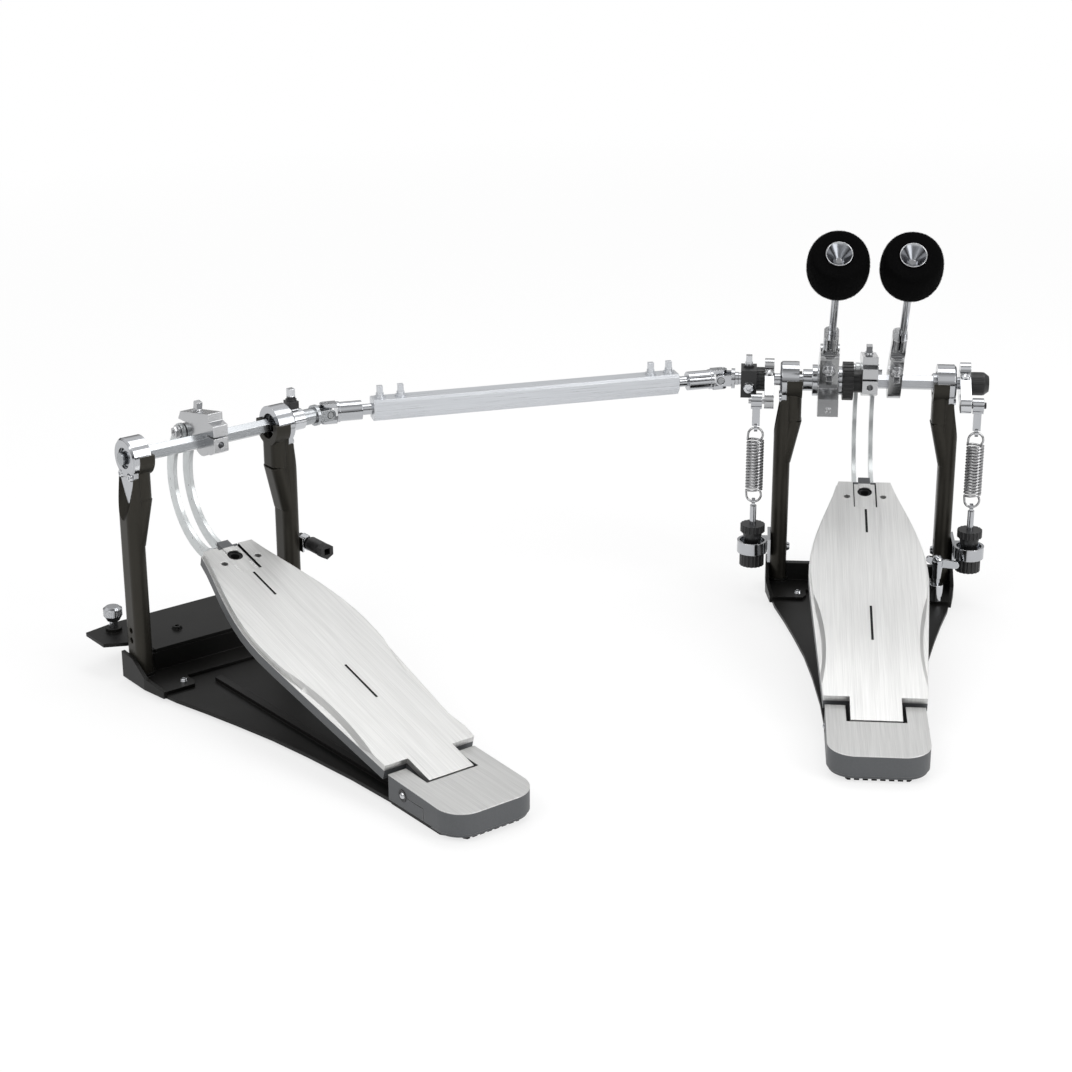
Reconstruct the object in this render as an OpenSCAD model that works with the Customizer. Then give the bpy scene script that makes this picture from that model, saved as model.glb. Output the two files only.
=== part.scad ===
/* [Pedal frame] */
// Height of the rocker shaft above the floor
shaft_h = 185; // [175:1:195]
// Distance from the centre plane to each post
post_x = 68.7; // [67:0.1:71]
// Thickness of a post across the pedal
post_t = 14; // [12:0.5:15]
// Depth of a post along the pedal
post_d = 22.8; // [20:0.2:25]
// Half width of the base at the posts
base_half = 78; // [76:1:82]
// Thickness of the rubber under the frame
pad_t = 3.5; // [2.5:0.5:5]
// Thickness of the base plate
plate_t = 3; // [2:0.5:4]
// Radius of a bearing housing
housing_r = 15.5; // [14:0.5:17]
// Radius of a bearing's outer ring
bearing_r = 9.5; // [8.5:0.5:11]

/* [Footboard] */
// Angle of the footboard at rest
board_angle = 15.2; // [14:0.2:16]
// Distance of the heel hinge behind the shaft
hinge_back = 311; // [300:1:320]
// Height of the heel hinge
hinge_z = 15.6; // [14:0.2:18]
// Height of the footboard's top above its hinge
board_top = 10.6; // [9:0.2:12]
// Depth of the footboard's side walls
board_depth = 12; // [10:0.5:14]
// Widest half width of the footboard
board_wide = 45.6; // [42:0.2:50]
// Narrowest half width of the footboard
board_waist = 35.3; // [33:0.1:38]
// Half width of the slot for the link foot
slot_half = 9.5; // [9:0.1:11]

/* [Heel] */
// Half width of the heel block
heel_half = 37; // [35:0.5:40]
// Height of the heel block's top
heel_top = 25.3; // [24:0.1:28]
// Length of the heel block
heel_len = 78; // [75:1:85]
// Radius of the heel hinge pins
heel_pin_r = 4; // [3:0.5:5]

/* [Shaft and linkage] */
// Width of the hexagonal shaft across its flats
hex_af = 10.4; // [9:0.2:12]
// Radius of the shaft's round ends
journal_r = 5; // [4:0.5:5.5]
// Distance from the shaft to the cam pin
cam_reach = 28; // [26:1:30]
// Radius of the link bars' curve, as a share of the distance that they span
link_curve = 0.5335; // [0.52:0.0005:0.6]
// Width of a link bar
link_w = 10; // [8:0.5:12]
// Thickness of a link bar
link_t = 3.3; // [2.5:0.1:3.6]
// Radius of the pins at both ends of the link
link_pin_r = 2.8; // [2.2:0.1:3.2]

/* [Beaters] */
// Angle of the beaters back from upright
beater_lean = 40; // [35:1:45]
// Distance from the shaft to the top of a beater
beater_len = 177; // [165:1:190]
// Radius of a beater's felt
beater_r = 25; // [23:0.5:28]
// Height of a beater's felt
beater_h = 41.4; // [36:1:46]
// Radius of the beater rod
rod_r = 3.1; // [2.8:0.1:4]
// Place of the left beater across the pedal
left_beater_x = -32.6; // [-34:0.1:-31]
// Place of the right beater across the pedal
right_beater_x = 23.6; // [23:0.1:25]

/* [Springs] */
// Outer radius of a spring
spring_r = 7.4; // [6.5:0.1:8]
// Thickness of the spring wire
wire_d = 1.8; // [1.2:0.1:2]
// Number of turns in a spring
spring_turns = 17; // [12:1:20]
// Length of the coiled part of a spring
coil_len = 43.5; // [42:0.5:48]
// Distance of the springs toward the player
spring_y = -25; // [-26:0.5:-24]

/* [Second pedal] */
// Place of the second pedal's shaft, across
second_x = -513.5; // [-540:1:-500]
// Place of the second pedal's shaft, along
second_y = -192.4; // [-200:1:-180]
// Turn of the second pedal
second_turn = 42.65; // [40:0.05:45]
// Distance from the shaft's middle to each joint's centre, main pedal
main_joint_x = 121; // [120:1:124]
// Distance from the shaft's middle to the joint's centre, second pedal
second_joint_x = 108.5; // [107:0.5:110]

/* [Hidden] */
$fn = 48;

// Gaps: a running fit, and the air between pieces of different bodies
run_gap = 0.07;
air = 0.4;

plate_top = pad_t + plate_t;
hinge_y = -hinge_back;
frame_back = 14;
toe_front = -46;
wall_top = 24;
tab_top = 9;
flange_t = 3;
heel_back_y = hinge_y - 61;
heel_front_y = heel_back_y + heel_len;
heel_slope = 2.4;

// Posts: a straight run, and a neck that a leaning strut carries inward to the bearing
post_r = post_t / 2;
bend_z = 120;
neck_in = 8;
neck_x = post_x - neck_in;
neck_from = 152;
neck_run = 37;
neck_lean = 12.5;
housing_out = 72;
housing_in = 56.5;
seat_out = 66.5;
cup_top = shaft_h + 3;
tongue_drop = 36;
post_holes = [45, 37];
screw_r = 2;
pin_ring_r = 4.6;
bolt_r = 2.4;
anchor_t = 2.6;

// Footboard, measured from the hinge along the board
slot_v = 265;
board_tip = slot_v + 36;
wide_v = 175;
tip_half = 21.4;
edge_power = 1.2;
flare_len = 49;
flare_rise = 3.6;
heel_wall_half = 38.3;
tip_stations = [for (i = [0:9]) wide_v + i * (board_tip - wide_v) / 9];
shoulder_v = 22.3;
tongue_half = 19;
tongue_end = -4.3;
skin_t = 5;
wall_t = 5;
rib_half = 2.5;
step_n = 4.2;
waist_v = 80;
waist_chord = 54;
waist_rise = 5.6;
waist_r = (waist_chord * waist_chord + waist_rise * waist_rise) / (2 * waist_rise);
foot_v = board_tip + 10.3;
foot_n = -4.4;
hole_v = slot_v + 14.8;
hole_u = 14.8;
upper_line = [229.5, 262];
line_w = 1.8;
lower_line = [90.1, 132.5];

// Where the footboard's link pin and the cam pin stand at rest
foot_y = hinge_y + foot_v * cos(board_angle) - foot_n * sin(board_angle);
foot_z = hinge_z + foot_v * sin(board_angle) + foot_n * cos(board_angle);
cam_y = cam_reach;
cam_z = shaft_h + 1;
link_dy = cam_y - foot_y;
link_dz = cam_z - foot_z;
link_span = sqrt(link_dy * link_dy + link_dz * link_dz);
link_dir = atan2(link_dz, link_dy);
link_curve_r = link_curve * link_span;
link_half = asin(link_span / 2 / link_curve_r);
link_cy = (cam_y + foot_y) / 2 - sin(link_dir) * link_curve_r * cos(link_half);
link_cz = (cam_z + foot_z) / 2 + cos(link_dir) * link_curve_r * cos(link_half);
link_a0 = atan2(foot_z - link_cz, foot_y - link_cy);
link_sweep = 2 * link_half;
link_x = 5.4;
link_eye_r = 6.5;
cam_pin_r = 2.2;
open_pin_gap = 1.8;

// Shaft stations from left to right
hex_r = hex_af / 2 / cos(30);
clamp_x = -104.6;
ring_x = -91.6;
left_arm_x = -85;
left_arm_w = 7.7;
collar_x = -20.8;
collar_w = 8.8;
cam_left = -5.2;
cam_right = 7.4;
right_arm_x = 74.8;
right_arm_w = 8.7;
cap_w = 15.5;
stub_r = 4;
head_tilt = 8;
cup_r = 10;
cup_deep = 13;
stem_r = 4.2;
holder_top = 70;

// Spring arm and spring stations
hook_y = spring_y;
hook_z = 174;
left_spring_x = -91.3;
right_spring_x = 89;
coil_z = 96.3;
mid_r = spring_r - wire_d / 2;
loop_r = 6.2;
loop_drop = 4.6;
eye_t = 2.8;
eye_hole_r = 1.7;
eye_lift = 0.5;
nut_r = 10.3;
nut_z = 59.6;
strip_h = 10.2;
disc_h = 6.2;
lower_nut_h = 11.6;
bracket_z = 41.4;
bracket_r = 12.6;
eye_z = coil_z - loop_drop - loop_r;
hook_eye_z = coil_z + coil_len + loop_drop + loop_r;

// Linkage line between the two universal joints
turn_c = cos(second_turn);
turn_s = sin(second_turn);
joint2_x = second_x + turn_c * second_joint_x;
joint2_y = second_y + turn_s * second_joint_x;
joint1_x = -main_joint_x;
line_dx = joint1_x - joint2_x;
line_dy = -joint2_y;
line_len = sqrt(line_dx * line_dx + line_dy * line_dy);
line_turn = atan2(line_dy, line_dx);
channel_from = 38;
channel_to = line_len - 39.5;
channel_half = 8.8;
channel_wall = 2.6;
link_rod_r = 4.4;
sleeve_r = 7.8;
fork_gap = 5;
fork_r = 8.4;
fork_w = 3.2;
trunnion_r = 2.6;
cross_half = 4.6;

// Colours
black_paint = "#2b2925";
rubber_black = "#151515";
bright_metal = "#c9ccd0";
board_metal = "#b9b8b6";
side_grey = "#7b7f84";
dark_steel = "#55575a";

// A cylinder along X
module x_rod(r, x0, x1, y = 0, z = 0) {
    translate([x0, y, z]) rotate([0, 90, 0]) cylinder(r = r, h = x1 - x0);
}

// A cylinder along Y
module y_rod(r, y0, y1, x = 0, z = 0) {
    translate([x, y1, z]) rotate([90, 0, 0]) cylinder(r = r, h = y1 - y0);
}

// A flat outline drawn in the YZ plane and thickened from x0 to x1
module side_plate(x0, x1) {
    translate([x0, 0, 0]) rotate([90, 0, 90]) linear_extrude(x1 - x0) children();
}

// Two circles and the straight flanks between them
module lever(p, r1, q, r2) {
    d = q - p;
    len = norm(d);
    a = atan2(d.y, d.x);
    b = acos((r1 - r2) / len);
    translate(p) circle(r1);
    translate(q) circle(r2);
    polygon([
        p + r1 * [cos(a + b), sin(a + b)],
        q + r2 * [cos(a + b), sin(a + b)],
        q + r2 * [cos(a - b), sin(a - b)],
        p + r1 * [cos(a - b), sin(a - b)]
    ]);
}

// A rectangle with round corners
module round_box(w, h, r) {
    square([w - 2 * r, h], center = true);
    square([w, h - 2 * r], center = true);
    for (x = [-1, 1], y = [-1, 1]) translate([x * (w / 2 - r), y * (h / 2 - r)]) circle(r);
}

// A square-headed bolt with a round flange, standing on its seat
module key_bolt(head = 5) {
    cylinder(r = 4.4, h = 1.6);
    cylinder(r = 3.2, h = 4);
    translate([-head / 2, -head / 2, 2]) cube([head, head, 8]);
}

// A domed screw head with a hexagonal socket
module screw_head(r) {
    difference() {
        cylinder(r1 = r, r2 = r * 0.72, h = r * 0.6);
        translate([0, 0, r * 0.25]) cylinder(r = r * 0.4, h = r, $fn = 6);
    }
}

// Moves a piece from the pedal's own place to the second pedal's
module second() {
    translate([second_x, second_y, 0]) rotate([0, 0, second_turn]) children();
}

// Moves a piece drawn along +X onto the line between the joints
module on_line() {
    translate([joint2_x, joint2_y, shaft_h]) rotate([0, 0, line_turn]) children();
}

// Both sides of the pedal
module both_sides() {
    children();
    mirror([1, 0, 0]) children();
}

// Half of the base's outline, from the toe to the heel
base_edge = [
    [base_half - 1, frame_back], [base_half - 1, -22], [71.5, -58], [64, -88], [56.5, -122],
    [49, -160], [43.5, -200], [38.5, -250], [36, -300], [35.5, hinge_y - 32], [28, hinge_y - 48]
];

module base_outline() {
    left = [for (i = [len(base_edge) - 1:-1:0]) [-base_edge[i].x, base_edge[i].y]];
    polygon(concat(base_edge, left));
}

module base_plate() {
    translate([0, 0, pad_t]) linear_extrude(plate_t) base_outline();
    // Raised ribs that run back to the heel
    both_sides() {
        translate([0, 0, plate_top - 0.01]) linear_extrude(3)
            polygon([[24, toe_front], [30, toe_front], [26, -285], [20, -285]]);
    }
}

// The crossbar between the posts, with its side flanges and front tabs
module toe_frame(window) {
    flange = [
        [12, pad_t + 0.01], [12, wall_top + 1], [-5, wall_top], [-24, 13], [toe_front, tab_top],
        [toe_front, pad_t + 0.01]
    ];
    difference() {
        union() {
            translate([0, 0, plate_top]) linear_extrude(tab_top - plate_top)
                polygon([
                    [-76, -24], [-73.5, toe_front], [-48, toe_front], [-45, toe_front + 6],
                    [-45, -28], [45, -28], [45, toe_front + 6], [48, toe_front], [73.5, toe_front],
                    [76, -24], [76, frame_back], [-76, frame_back]
                ]);
            translate([-76.5, -6, plate_top]) cube([153, 6, wall_top - plate_top]);
            both_sides() {
                // The flange follows the base plate's edge
                intersection() {
                    side_plate(post_x, base_half + 2) polygon(flange);
                    linear_extrude(wall_top + 5) polygon([
                        [76, 15], [76 + flange_t, 15], [76 + flange_t, -22], [75.2, toe_front - 1],
                        [75.2 - flange_t, toe_front - 1], [76, -22]
                    ]);
                }
                // Socket that the post stands in
                translate([post_x, 0, plate_top]) linear_extrude(5) post_section(1.6);
            }
        }
        both_sides() {
            translate([post_x, 0, plate_top + 1]) linear_extrude(40) post_section(0);
            translate([52, -36, 0]) cylinder(r = 2.2, h = 40);
        }
        if (window) translate([-27, -8, plate_top + 2]) cube([54, 10, 11]);
        translate([0, 0, -1]) linear_extrude(pad_t + plate_t + 1) base_outline();
    }
}

// Oval section of a post, grown by g
module post_section(g) {
    flat = post_d / 2 - post_r;
    translate([0, flat]) circle(post_r + g);
    translate([0, -flat]) circle(post_r + g);
    square([post_t + 2 * g, 2 * flat], center = true);
}

module toe_pad() {
    linear_extrude(pad_t) polygon([
        [-72, frame_back - 2], [72, frame_back - 2], [72, -26], [68, -50], [-68, -50], [-72, -26]
    ]);
}

module heel_pad() {
    difference() {
        linear_extrude(pad_t) polygon([
            [-33, hinge_y + 20], [33, hinge_y + 20], [33, hinge_y - 38], [22, hinge_y - 55],
            [-22, hinge_y - 55], [-33, hinge_y - 38]
        ]);
        // Grip grooves across the front edge
        for (i = [0:8]) translate([-26 + i * 6.2, hinge_y - 60, -1]) cube([2.4, 12, 2.4]);
    }
}

// One post, drawn on the right
module post() {
    difference() {
        union() {
            translate([post_x, 0, plate_top + 1.2]) linear_extrude(shaft_h - 11 - plate_top - 1.2)
                post_section(0);
            // Strut that leans inward to the neck
            translate([post_x - 1, 0, bend_z - 4]) rotate([0, -neck_lean, 0]) linear_extrude(neck_run)
                post_section(-0.3);
            translate([neck_x, 0, neck_from]) linear_extrude(cup_top - neck_from) post_section(0);
            // Cup under the bearing
            intersection() {
                x_rod(housing_r, neck_x - 7, seat_out - 0.01, 0, shaft_h);
                translate([0, -40, 0]) cube([200, 80, cup_top]);
            }
        }
        // Scooped seat for the housing's tongue
        side_plate(seat_out - 0.01, 100) tongue(0.05);
        x_rod(housing_r + 0.05, seat_out - 0.01, 100, 0, shaft_h);
        translate([seat_out - 0.01, -40, shaft_h - 11]) cube([40, 80, 80]);
        translate([seat_out + 11, 0, shaft_h - 27]) rotate([0, -25, 0]) cylinder(r = 11, h = 80, center = true);
        x_rod(bearing_r + 0.5, 0, 200, 0, shaft_h);
        for (y = [-7, 7]) x_rod(screw_r + 0.1, neck_x, 200, y, shaft_h - 14);
        for (z = post_holes) x_rod(bolt_r + 0.1, 55, 90, 0, z);
    }
}

// Pointed tongue below a bearing, in the YZ plane, grown by g
module tongue(g) {
    polygon([
        [-12 - g, shaft_h - 9], [-11.5 - g, shaft_h - 14], [-1.5 - g, shaft_h - tongue_drop - g],
        [1.5 + g, shaft_h - tongue_drop - g], [11.5 + g, shaft_h - 14], [12 + g, shaft_h - 9]
    ]);
}

// One chrome bearing housing, drawn on the right
module housing() {
    difference() {
        union() {
            x_rod(housing_r, seat_out, housing_out - 1.5, 0, shaft_h);
            translate([housing_out - 1.5, 0, shaft_h]) rotate([0, 90, 0])
                cylinder(r1 = housing_r, r2 = housing_r - 1.5, h = 1.5);
            intersection() {
                x_rod(housing_r, housing_in, seat_out + 0.01, 0, shaft_h);
                translate([0, -40, cup_top]) cube([200, 80, 40]);
            }
            side_plate(seat_out, housing_out - 1.5) tongue(0);
        }
        x_rod(bearing_r, 40, housing_out - 2, 0, shaft_h);
        x_rod(bearing_r - 1.2, 40, 100, 0, shaft_h);
        for (y = [-7, 7]) {
            x_rod(screw_r + 0.1, 0, 200, y, shaft_h - 14);
            x_rod(3.8, housing_out - 1.5, 100, y, shaft_h - 14);
        }
    }
}

module housings() {
    both_sides() housing();
}

// One bearing as an inner and an outer ring with balls between them
module bearing() {
    x_in = seat_out - 6;
    x_out = housing_out - 2;
    difference() {
        x_rod(bearing_r, x_in, x_out, 0, shaft_h);
        x_rod(bearing_r - 1.6, x_in - 1, x_out + 1, 0, shaft_h);
    }
    difference() {
        x_rod(journal_r + 1.5, x_in, x_out, 0, shaft_h);
        x_rod(journal_r + run_gap, x_in - 1, x_out + 1, 0, shaft_h);
    }
    difference() {
        x_rod(bearing_r - 1.6, (x_in + x_out) / 2 - 1, (x_in + x_out) / 2 + 1, 0, shaft_h);
        x_rod(journal_r + 1.5, x_in - 1, x_out + 1, 0, shaft_h);
    }
}

module bearings() {
    both_sides() bearing();
}

// Housing screws, flange screws and the heel hinge pins
module fasteners() {
    both_sides() {
        for (y = [-7, 7]) {
            translate([housing_out - 1.5, y, shaft_h - 14]) rotate([0, 90, 0]) screw_head(3.4);
            x_rod(screw_r, neck_x, housing_out - 1.4, y, shaft_h - 14);
        }
        translate([52, -36, tab_top]) screw_head(3.4);
        translate([52, -36, plate_top]) cylinder(r = 2.2, h = tab_top - plate_top + 0.1);
        // Pin with a head in a dark ring
        x_rod(heel_pin_r, 8, heel_half - 1, hinge_y, hinge_z);
        difference() {
            x_rod(pin_ring_r, heel_half - 1, heel_half + 0.4, hinge_y, hinge_z);
            x_rod(3.2, heel_half - 0.2, heel_half + 2, hinge_y, hinge_z);
        }
        translate([heel_half - 1, hinge_y, hinge_z]) sphere(r = 2.8);
    }
}

module heel_outline(inset) {
    w = heel_half - inset;
    r = 20 - inset;
    back = heel_back_y + inset;
    for (x = [-1, 1]) translate([x * (w - r), back + r]) circle(r);
    translate([-w, back + r]) square([2 * w, heel_front_y - back - r]);
    translate([-w + r, back]) square([2 * (w - r), 2 * r]);
}

module heel_block() {
    slot = tongue_half + 3;
    difference() {
        union() {
            translate([0, 0, 6]) linear_extrude(heel_top - 6) heel_outline(0);
            translate([0, 0, pad_t]) linear_extrude(3) heel_outline(1.5);
        }
        // Top that slopes down to the back
        translate([-60, heel_front_y, heel_top]) rotate([heel_slope, 0, 0]) translate([0, -120, 0])
            cube([120, 130, 20]);
        translate([0, 0, -1]) linear_extrude(plate_top + 1) base_outline();
        translate([-slot, hinge_y - 8.5, plate_top - 1]) cube([2 * slot, 60, 40]);
        x_rod(heel_pin_r + 0.05, -60, 60, hinge_y, hinge_z);
        both_sides() {
            x_rod(pin_ring_r + 0.1, heel_half - 1, heel_half + 5, hinge_y, hinge_z);
            // Seam lines of the hinge lug
            translate([heel_half - 0.6, hinge_y - 25, 0]) cube([2, 0.9, 15.6]);
            translate([heel_half - 0.6, hinge_y - 25, 15]) cube([2, 20, 0.9]);
        }
    }
}

// Half width of the board's side walls at distance v
function wall_half(v) = v < wide_v
    ? heel_wall_half + (board_wide + 2 - heel_wall_half) * (v - shoulder_v) / (wide_v - shoulder_v)
    : board_edge(v) + 1.6;

// Half width of the board's top from its widest point to its tip
function board_edge(v) = tip_half + (board_wide - tip_half) * pow(sin(90 * max(0, board_tip - v) / (board_tip - wide_v)), edge_power);

module board_outline(grow) {
    vs = concat([for (i = [0:7]) shoulder_v + i * (wide_v - shoulder_v) / 8], tip_stations);
    right = [for (v = vs) [wall_half(v) + grow, v]];
    left = [for (i = [len(right) - 1:-1:0]) [-right[i].x, right[i].y]];
    polygon(concat([[tongue_half, shoulder_v]], right, left, [[-tongue_half, shoulder_v]]));
}

// Top of the board, wide at the ball of the foot
module top_outline() {
    vs = concat([shoulder_v], [for (i = [4:-1:1]) wide_v - i * flare_len / 4], tip_stations);
    right = [for (v = vs) [v < wide_v ? top_half(v) : board_edge(v), v]];
    left = [for (i = [len(right) - 1:-1:0]) [-right[i].x, right[i].y]];
    polygon(concat([[tongue_half, shoulder_v]], right, left, [[-tongue_half, shoulder_v]]));
}

// Half width of the top between the heel shoulder and the widest point
function top_half(v) = board_wide - flare_rise * pow(min(1, (wide_v - v) / flare_len), 1.6);

// The footboard lying flat, with its hinge along X at the origin
module flat_board() {
    n1 = board_top - step_n;
    n0 = board_top - board_depth;
    difference() {
        union() {
            translate([0, 0, n0]) linear_extrude(n1 - n0 + 0.01) board_outline(0);
            translate([0, 0, n1]) linear_extrude(step_n) intersection() {
                top_outline();
                board_outline(0.01);
            }
            translate([-tongue_half, tongue_end, n0]) cube([2 * tongue_half, shoulder_v + 5 - tongue_end, board_depth]);
            x_rod(7.4, -tongue_half, tongue_half);
        }
        // Waist, with sloping flanks
        both_sides() translate([board_waist + waist_r, waist_v, n1])
            cylinder(r1 = waist_r - 3, r2 = waist_r, h = step_n + 0.01, $fn = 360);
        // Hollow underside
        translate([0, 0, n0 - 1]) linear_extrude(board_depth - skin_t + 1) difference() {
            board_outline(-wall_t);
            translate([-60, slot_v - 12]) square([120, 60]);
            translate([-60, 0]) square([120, shoulder_v + wall_t]);
            translate([-rib_half, 0]) square([2 * rib_half, board_tip]);
        }
        // Slot and seat of the link foot
        translate([-slot_half, slot_v, n0 - 1]) cube([2 * slot_half, 60, board_depth + 2]);
        both_sides() translate([hole_u, hole_v, n0 - 1]) cylinder(r = 2.6, h = board_depth + 2);
        for (l = [upper_line, lower_line])
            translate([-line_w / 2, l[0], board_top - 0.6]) cube([line_w, l[1] - l[0], 1]);
        x_rod(heel_pin_r + run_gap, -60, 60);
        // Room for the hinge pins' inner ends
        translate([-30, tongue_end - 20, n0 - 1]) cube([60, 19.9, 30]);
    }
}

module in_board_place() {
    translate([0, hinge_y, hinge_z]) rotate([board_angle, 0, 0]) children();
}

module footboard() {
    in_board_place() flat_board();
}

// The casting in the toe slot that carries the link pin
module link_foot() {
    lug = link_x - air - 0.1;
    in_board_place() {
        difference() {
            union() {
                translate([-slot_half, slot_v, -1.4]) cube([2 * slot_half, board_tip - slot_v + 2, 10.2]);
                // Nose that holds the link pin
                side_plate(-lug, lug) lever([foot_v, foot_n], 5.6, [board_tip - 4, 3.2], 5);
                translate([-lug, board_tip - 14, board_top - 4]) cube([2 * lug, 22, 3]);
            }
            translate([0, slot_v + 24, -20]) cylinder(r = 3.6, h = 60);
            translate([0, slot_v + 24, board_top - 2.8]) cylinder(r = 6, h = 20);
            // Scale marks on both sides
            for (i = [0:4], s = [-1, 1])
                translate([s * 7.4 - 1.6, slot_v + 3 + i * 2.2, board_top - 2.1]) cube([3.2, 0.6, 2]);
            x_rod(link_pin_r, -30, 30, foot_v, foot_n);
        }
        x_rod(link_pin_r, -(link_x + link_t + 2.2), link_x + link_t + 2.2, foot_v, foot_n);
        both_sides() translate([link_x + link_t + air, foot_v, foot_n]) rotate([0, 90, 0])
            difference() {
                cylinder(r = 4.8, h = 2);
                cylinder(r = link_pin_r - 0.01, h = 5, center = true);
            }
    }
}

// The pair of curved bars between the footboard and the cam
module link_bars() {
    both_sides() difference() {
        union() {
            translate([link_x, link_cy, link_cz]) rotate([90, 0, 90]) rotate([0, 0, link_a0])
                rotate_extrude(angle = link_sweep, $fn = 180) translate([link_curve_r - link_w / 2, 0])
                    square([link_w, link_t]);
            x_rod(link_eye_r, link_x, link_x + link_t, cam_y, cam_z);
            x_rod(link_eye_r, link_x, link_x + link_t, foot_y, foot_z);
        }
        x_rod(cam_pin_r + open_pin_gap, 0, 30, cam_y, cam_z);
        x_rod(link_pin_r + run_gap, 0, 30, foot_y, foot_z);
    }
}

// The cam that turns the shaft: a hub, an arm with the link pin and a clamp with its bolt
module cam_block() {
    lug = link_x - air - 0.1;
    difference() {
        union() {
            side_plate(cam_left, cam_right) translate([0, shaft_h]) circle(12);
            side_plate(-lug, lug) lever([0, shaft_h], 9, [cam_y, cam_z], 6);
            side_plate(cam_left, cam_right) polygon([
                [-20, shaft_h - 5], [-20, shaft_h + 16], [-13, shaft_h + 18], [-13, shaft_h + 24.5],
                [30, shaft_h + 16.5], [34, shaft_h + 9.5], [18, shaft_h + 9.5], [9, shaft_h + 7.5],
                [-9, shaft_h - 8], [-14, shaft_h - 8]
            ]);
            translate([1, 14, shaft_h + 17.6]) rotate([10.5, 0, 0]) key_bolt();
        }
        x_rod(hex_r, -20, 20, 0, shaft_h, $fn = 6);
        y_rod(2.6, -30, -12, 1, shaft_h + 0.5);
        translate([-20, -22, shaft_h + 6]) cube([40, 13, 1.6]);
        x_rod(cam_pin_r, -30, 30, cam_y, cam_z);
    }
    x_rod(cam_pin_r, -(link_x + link_t + 3.4), link_x + link_t + 3.4, cam_y, cam_z);
    both_sides() translate([link_x + link_t + air, cam_y, cam_z]) rotate([0, 90, 0]) difference() {
        union() {
            cylinder(r = 5.6, h = 1.4);
            cylinder(r = 4.6, h = 4, $fn = 6);
        }
        cylinder(r = cam_pin_r - 0.01, h = 12, center = true);
    }
}

module hex_bar(x0, x1) {
    translate([x0, 0, shaft_h]) rotate([0, 90, 0]) cylinder(r = hex_r, h = x1 - x0, $fn = 6);
}

// Main shaft: a stub in the left sleeve, a hexagon and the right journal
module main_shaft_bar() {
    x_rod(stub_r, -37, collar_x + collar_w, 0, shaft_h);
    hex_bar(collar_x + collar_w - 1, 54);
    x_rod(journal_r, 53.9, right_arm_x + right_arm_w + 4, 0, shaft_h);
    difference() {
        x_rod(8, 53.5, 59, 0, shaft_h);
        x_rod(journal_r - 0.01, 50, 60, 0, shaft_h);
    }
}

module collar() {
    difference() {
        x_rod(16, collar_x, collar_x + collar_w, 0, shaft_h);
        x_rod(stub_r, collar_x - 1, collar_x + collar_w - 1, 0, shaft_h);
        hex_bar(collar_x + collar_w - 1, 0);
        // Grip flutes
        for (i = [0:23]) translate([0, 0, shaft_h]) rotate([i * 15, 0, 0])
            x_rod(1, collar_x - 1, collar_x + collar_w + 1, 0, 16.3);
    }
    difference() {
        x_rod(9.5, collar_x + collar_w, cam_left - 0.1, 0, shaft_h);
        hex_bar(collar_x, 0);
    }
}

// Turns a piece drawn upright at the shaft to the beaters' lean
module leaning(x) {
    translate([x, 0, shaft_h]) rotate([beater_lean, 0, 0]) children();
}

// A beater holder drawn upright about the shaft: w wide, with a clamp for the rod on top
module holder(w, hub_r, shift) {
    translate([shift, 0, 0]) difference() {
        union() {
            side_plate(-w / 2, w / 2) lever([0, 0], hub_r + 5.5, [0, 40], 8);
            translate([0, -0.5, 40]) linear_extrude(holder_top - 40) round_box(12, 14, 4);
            // Bolt that clamps the rod
            translate([0, -7, 30]) rotate([90, 0, 0]) cylinder(r = 5.2, h = 6);
            translate([0, -12.5, 30]) rotate([90, 0, 0]) key_bolt();
        }
        translate([-shift, 0, 26]) cylinder(r = rod_r + run_gap, h = 80);
        // Clamp slit and the flat in front of it
        translate([-0.8, -20, 57]) cube([1.6, 20, 30]);
        translate([-w, -11, 45]) cube([2 * w, 6, 9]);
    }
}

module right_holder() {
    leaning(right_beater_x) difference() {
        holder(10.8, 8, -2.1);
        rotate([-beater_lean, 0, 0]) rotate([0, 90, 0]) cylinder(r = hex_r, h = 60, center = true, $fn = 6);
    }
}

module left_holder() {
    leaning(left_beater_x) difference() {
        union() {
            holder(15.4, 9.7, -0.5);
            // Long foot that reaches down in front of the shaft
            rotate([-beater_lean, 0, 0]) side_plate(-8.6, 8.4) polygon([
                [-14.5, 0.5], [-22, -10], [-24, -24], [-13, -27], [-2, -14.5], [0, -8]
            ]);
            rotate([-beater_lean, 0, 0]) translate([0, -22.4, -19]) rotate([98, 0, 0]) screw_head(2.8);
        }
        rotate([0, 90, 0]) cylinder(r = 9.5, h = 60, center = true);
    }
}

// A beater rod with its funnel, drawn upright
module rod_and_cup() {
    top = beater_len - cup_deep + 0.6;
    translate([0, 0, 34]) cylinder(r = rod_r, h = top - 34);
    translate([0, 0, beater_len]) rotate([head_tilt, 0, 0]) difference() {
        union() {
            translate([0, 0, -cup_deep]) cylinder(r1 = stem_r, r2 = cup_r + 0.4, h = cup_deep + 0.3);
            translate([0, 0, -beater_h + 3]) cylinder(r = stem_r, h = beater_h - cup_deep - 3 + 0.1);
        }
        translate([0, 0, -cup_deep + 1.6]) cylinder(r1 = 2.4, r2 = cup_r, h = cup_deep - 1);
    }
}

// Side of the felt from its flat top to its rounder end: a flattened circle
felt_steps = 20;
felt_side = [
    for (i = [0:felt_steps]) let (
        a = 90 - 180 * i / felt_steps,
        c = cos(a),
        h = beater_h / 2
    ) a > 0
        ? [beater_r * (0.68 + 0.32 * pow(c, 0.5)), -h + h * sin(a)]
        : [beater_r * (0.5 + 0.5 * pow(c, 0.62)), -h - h * pow(-sin(a), 0.92)]
];

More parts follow.
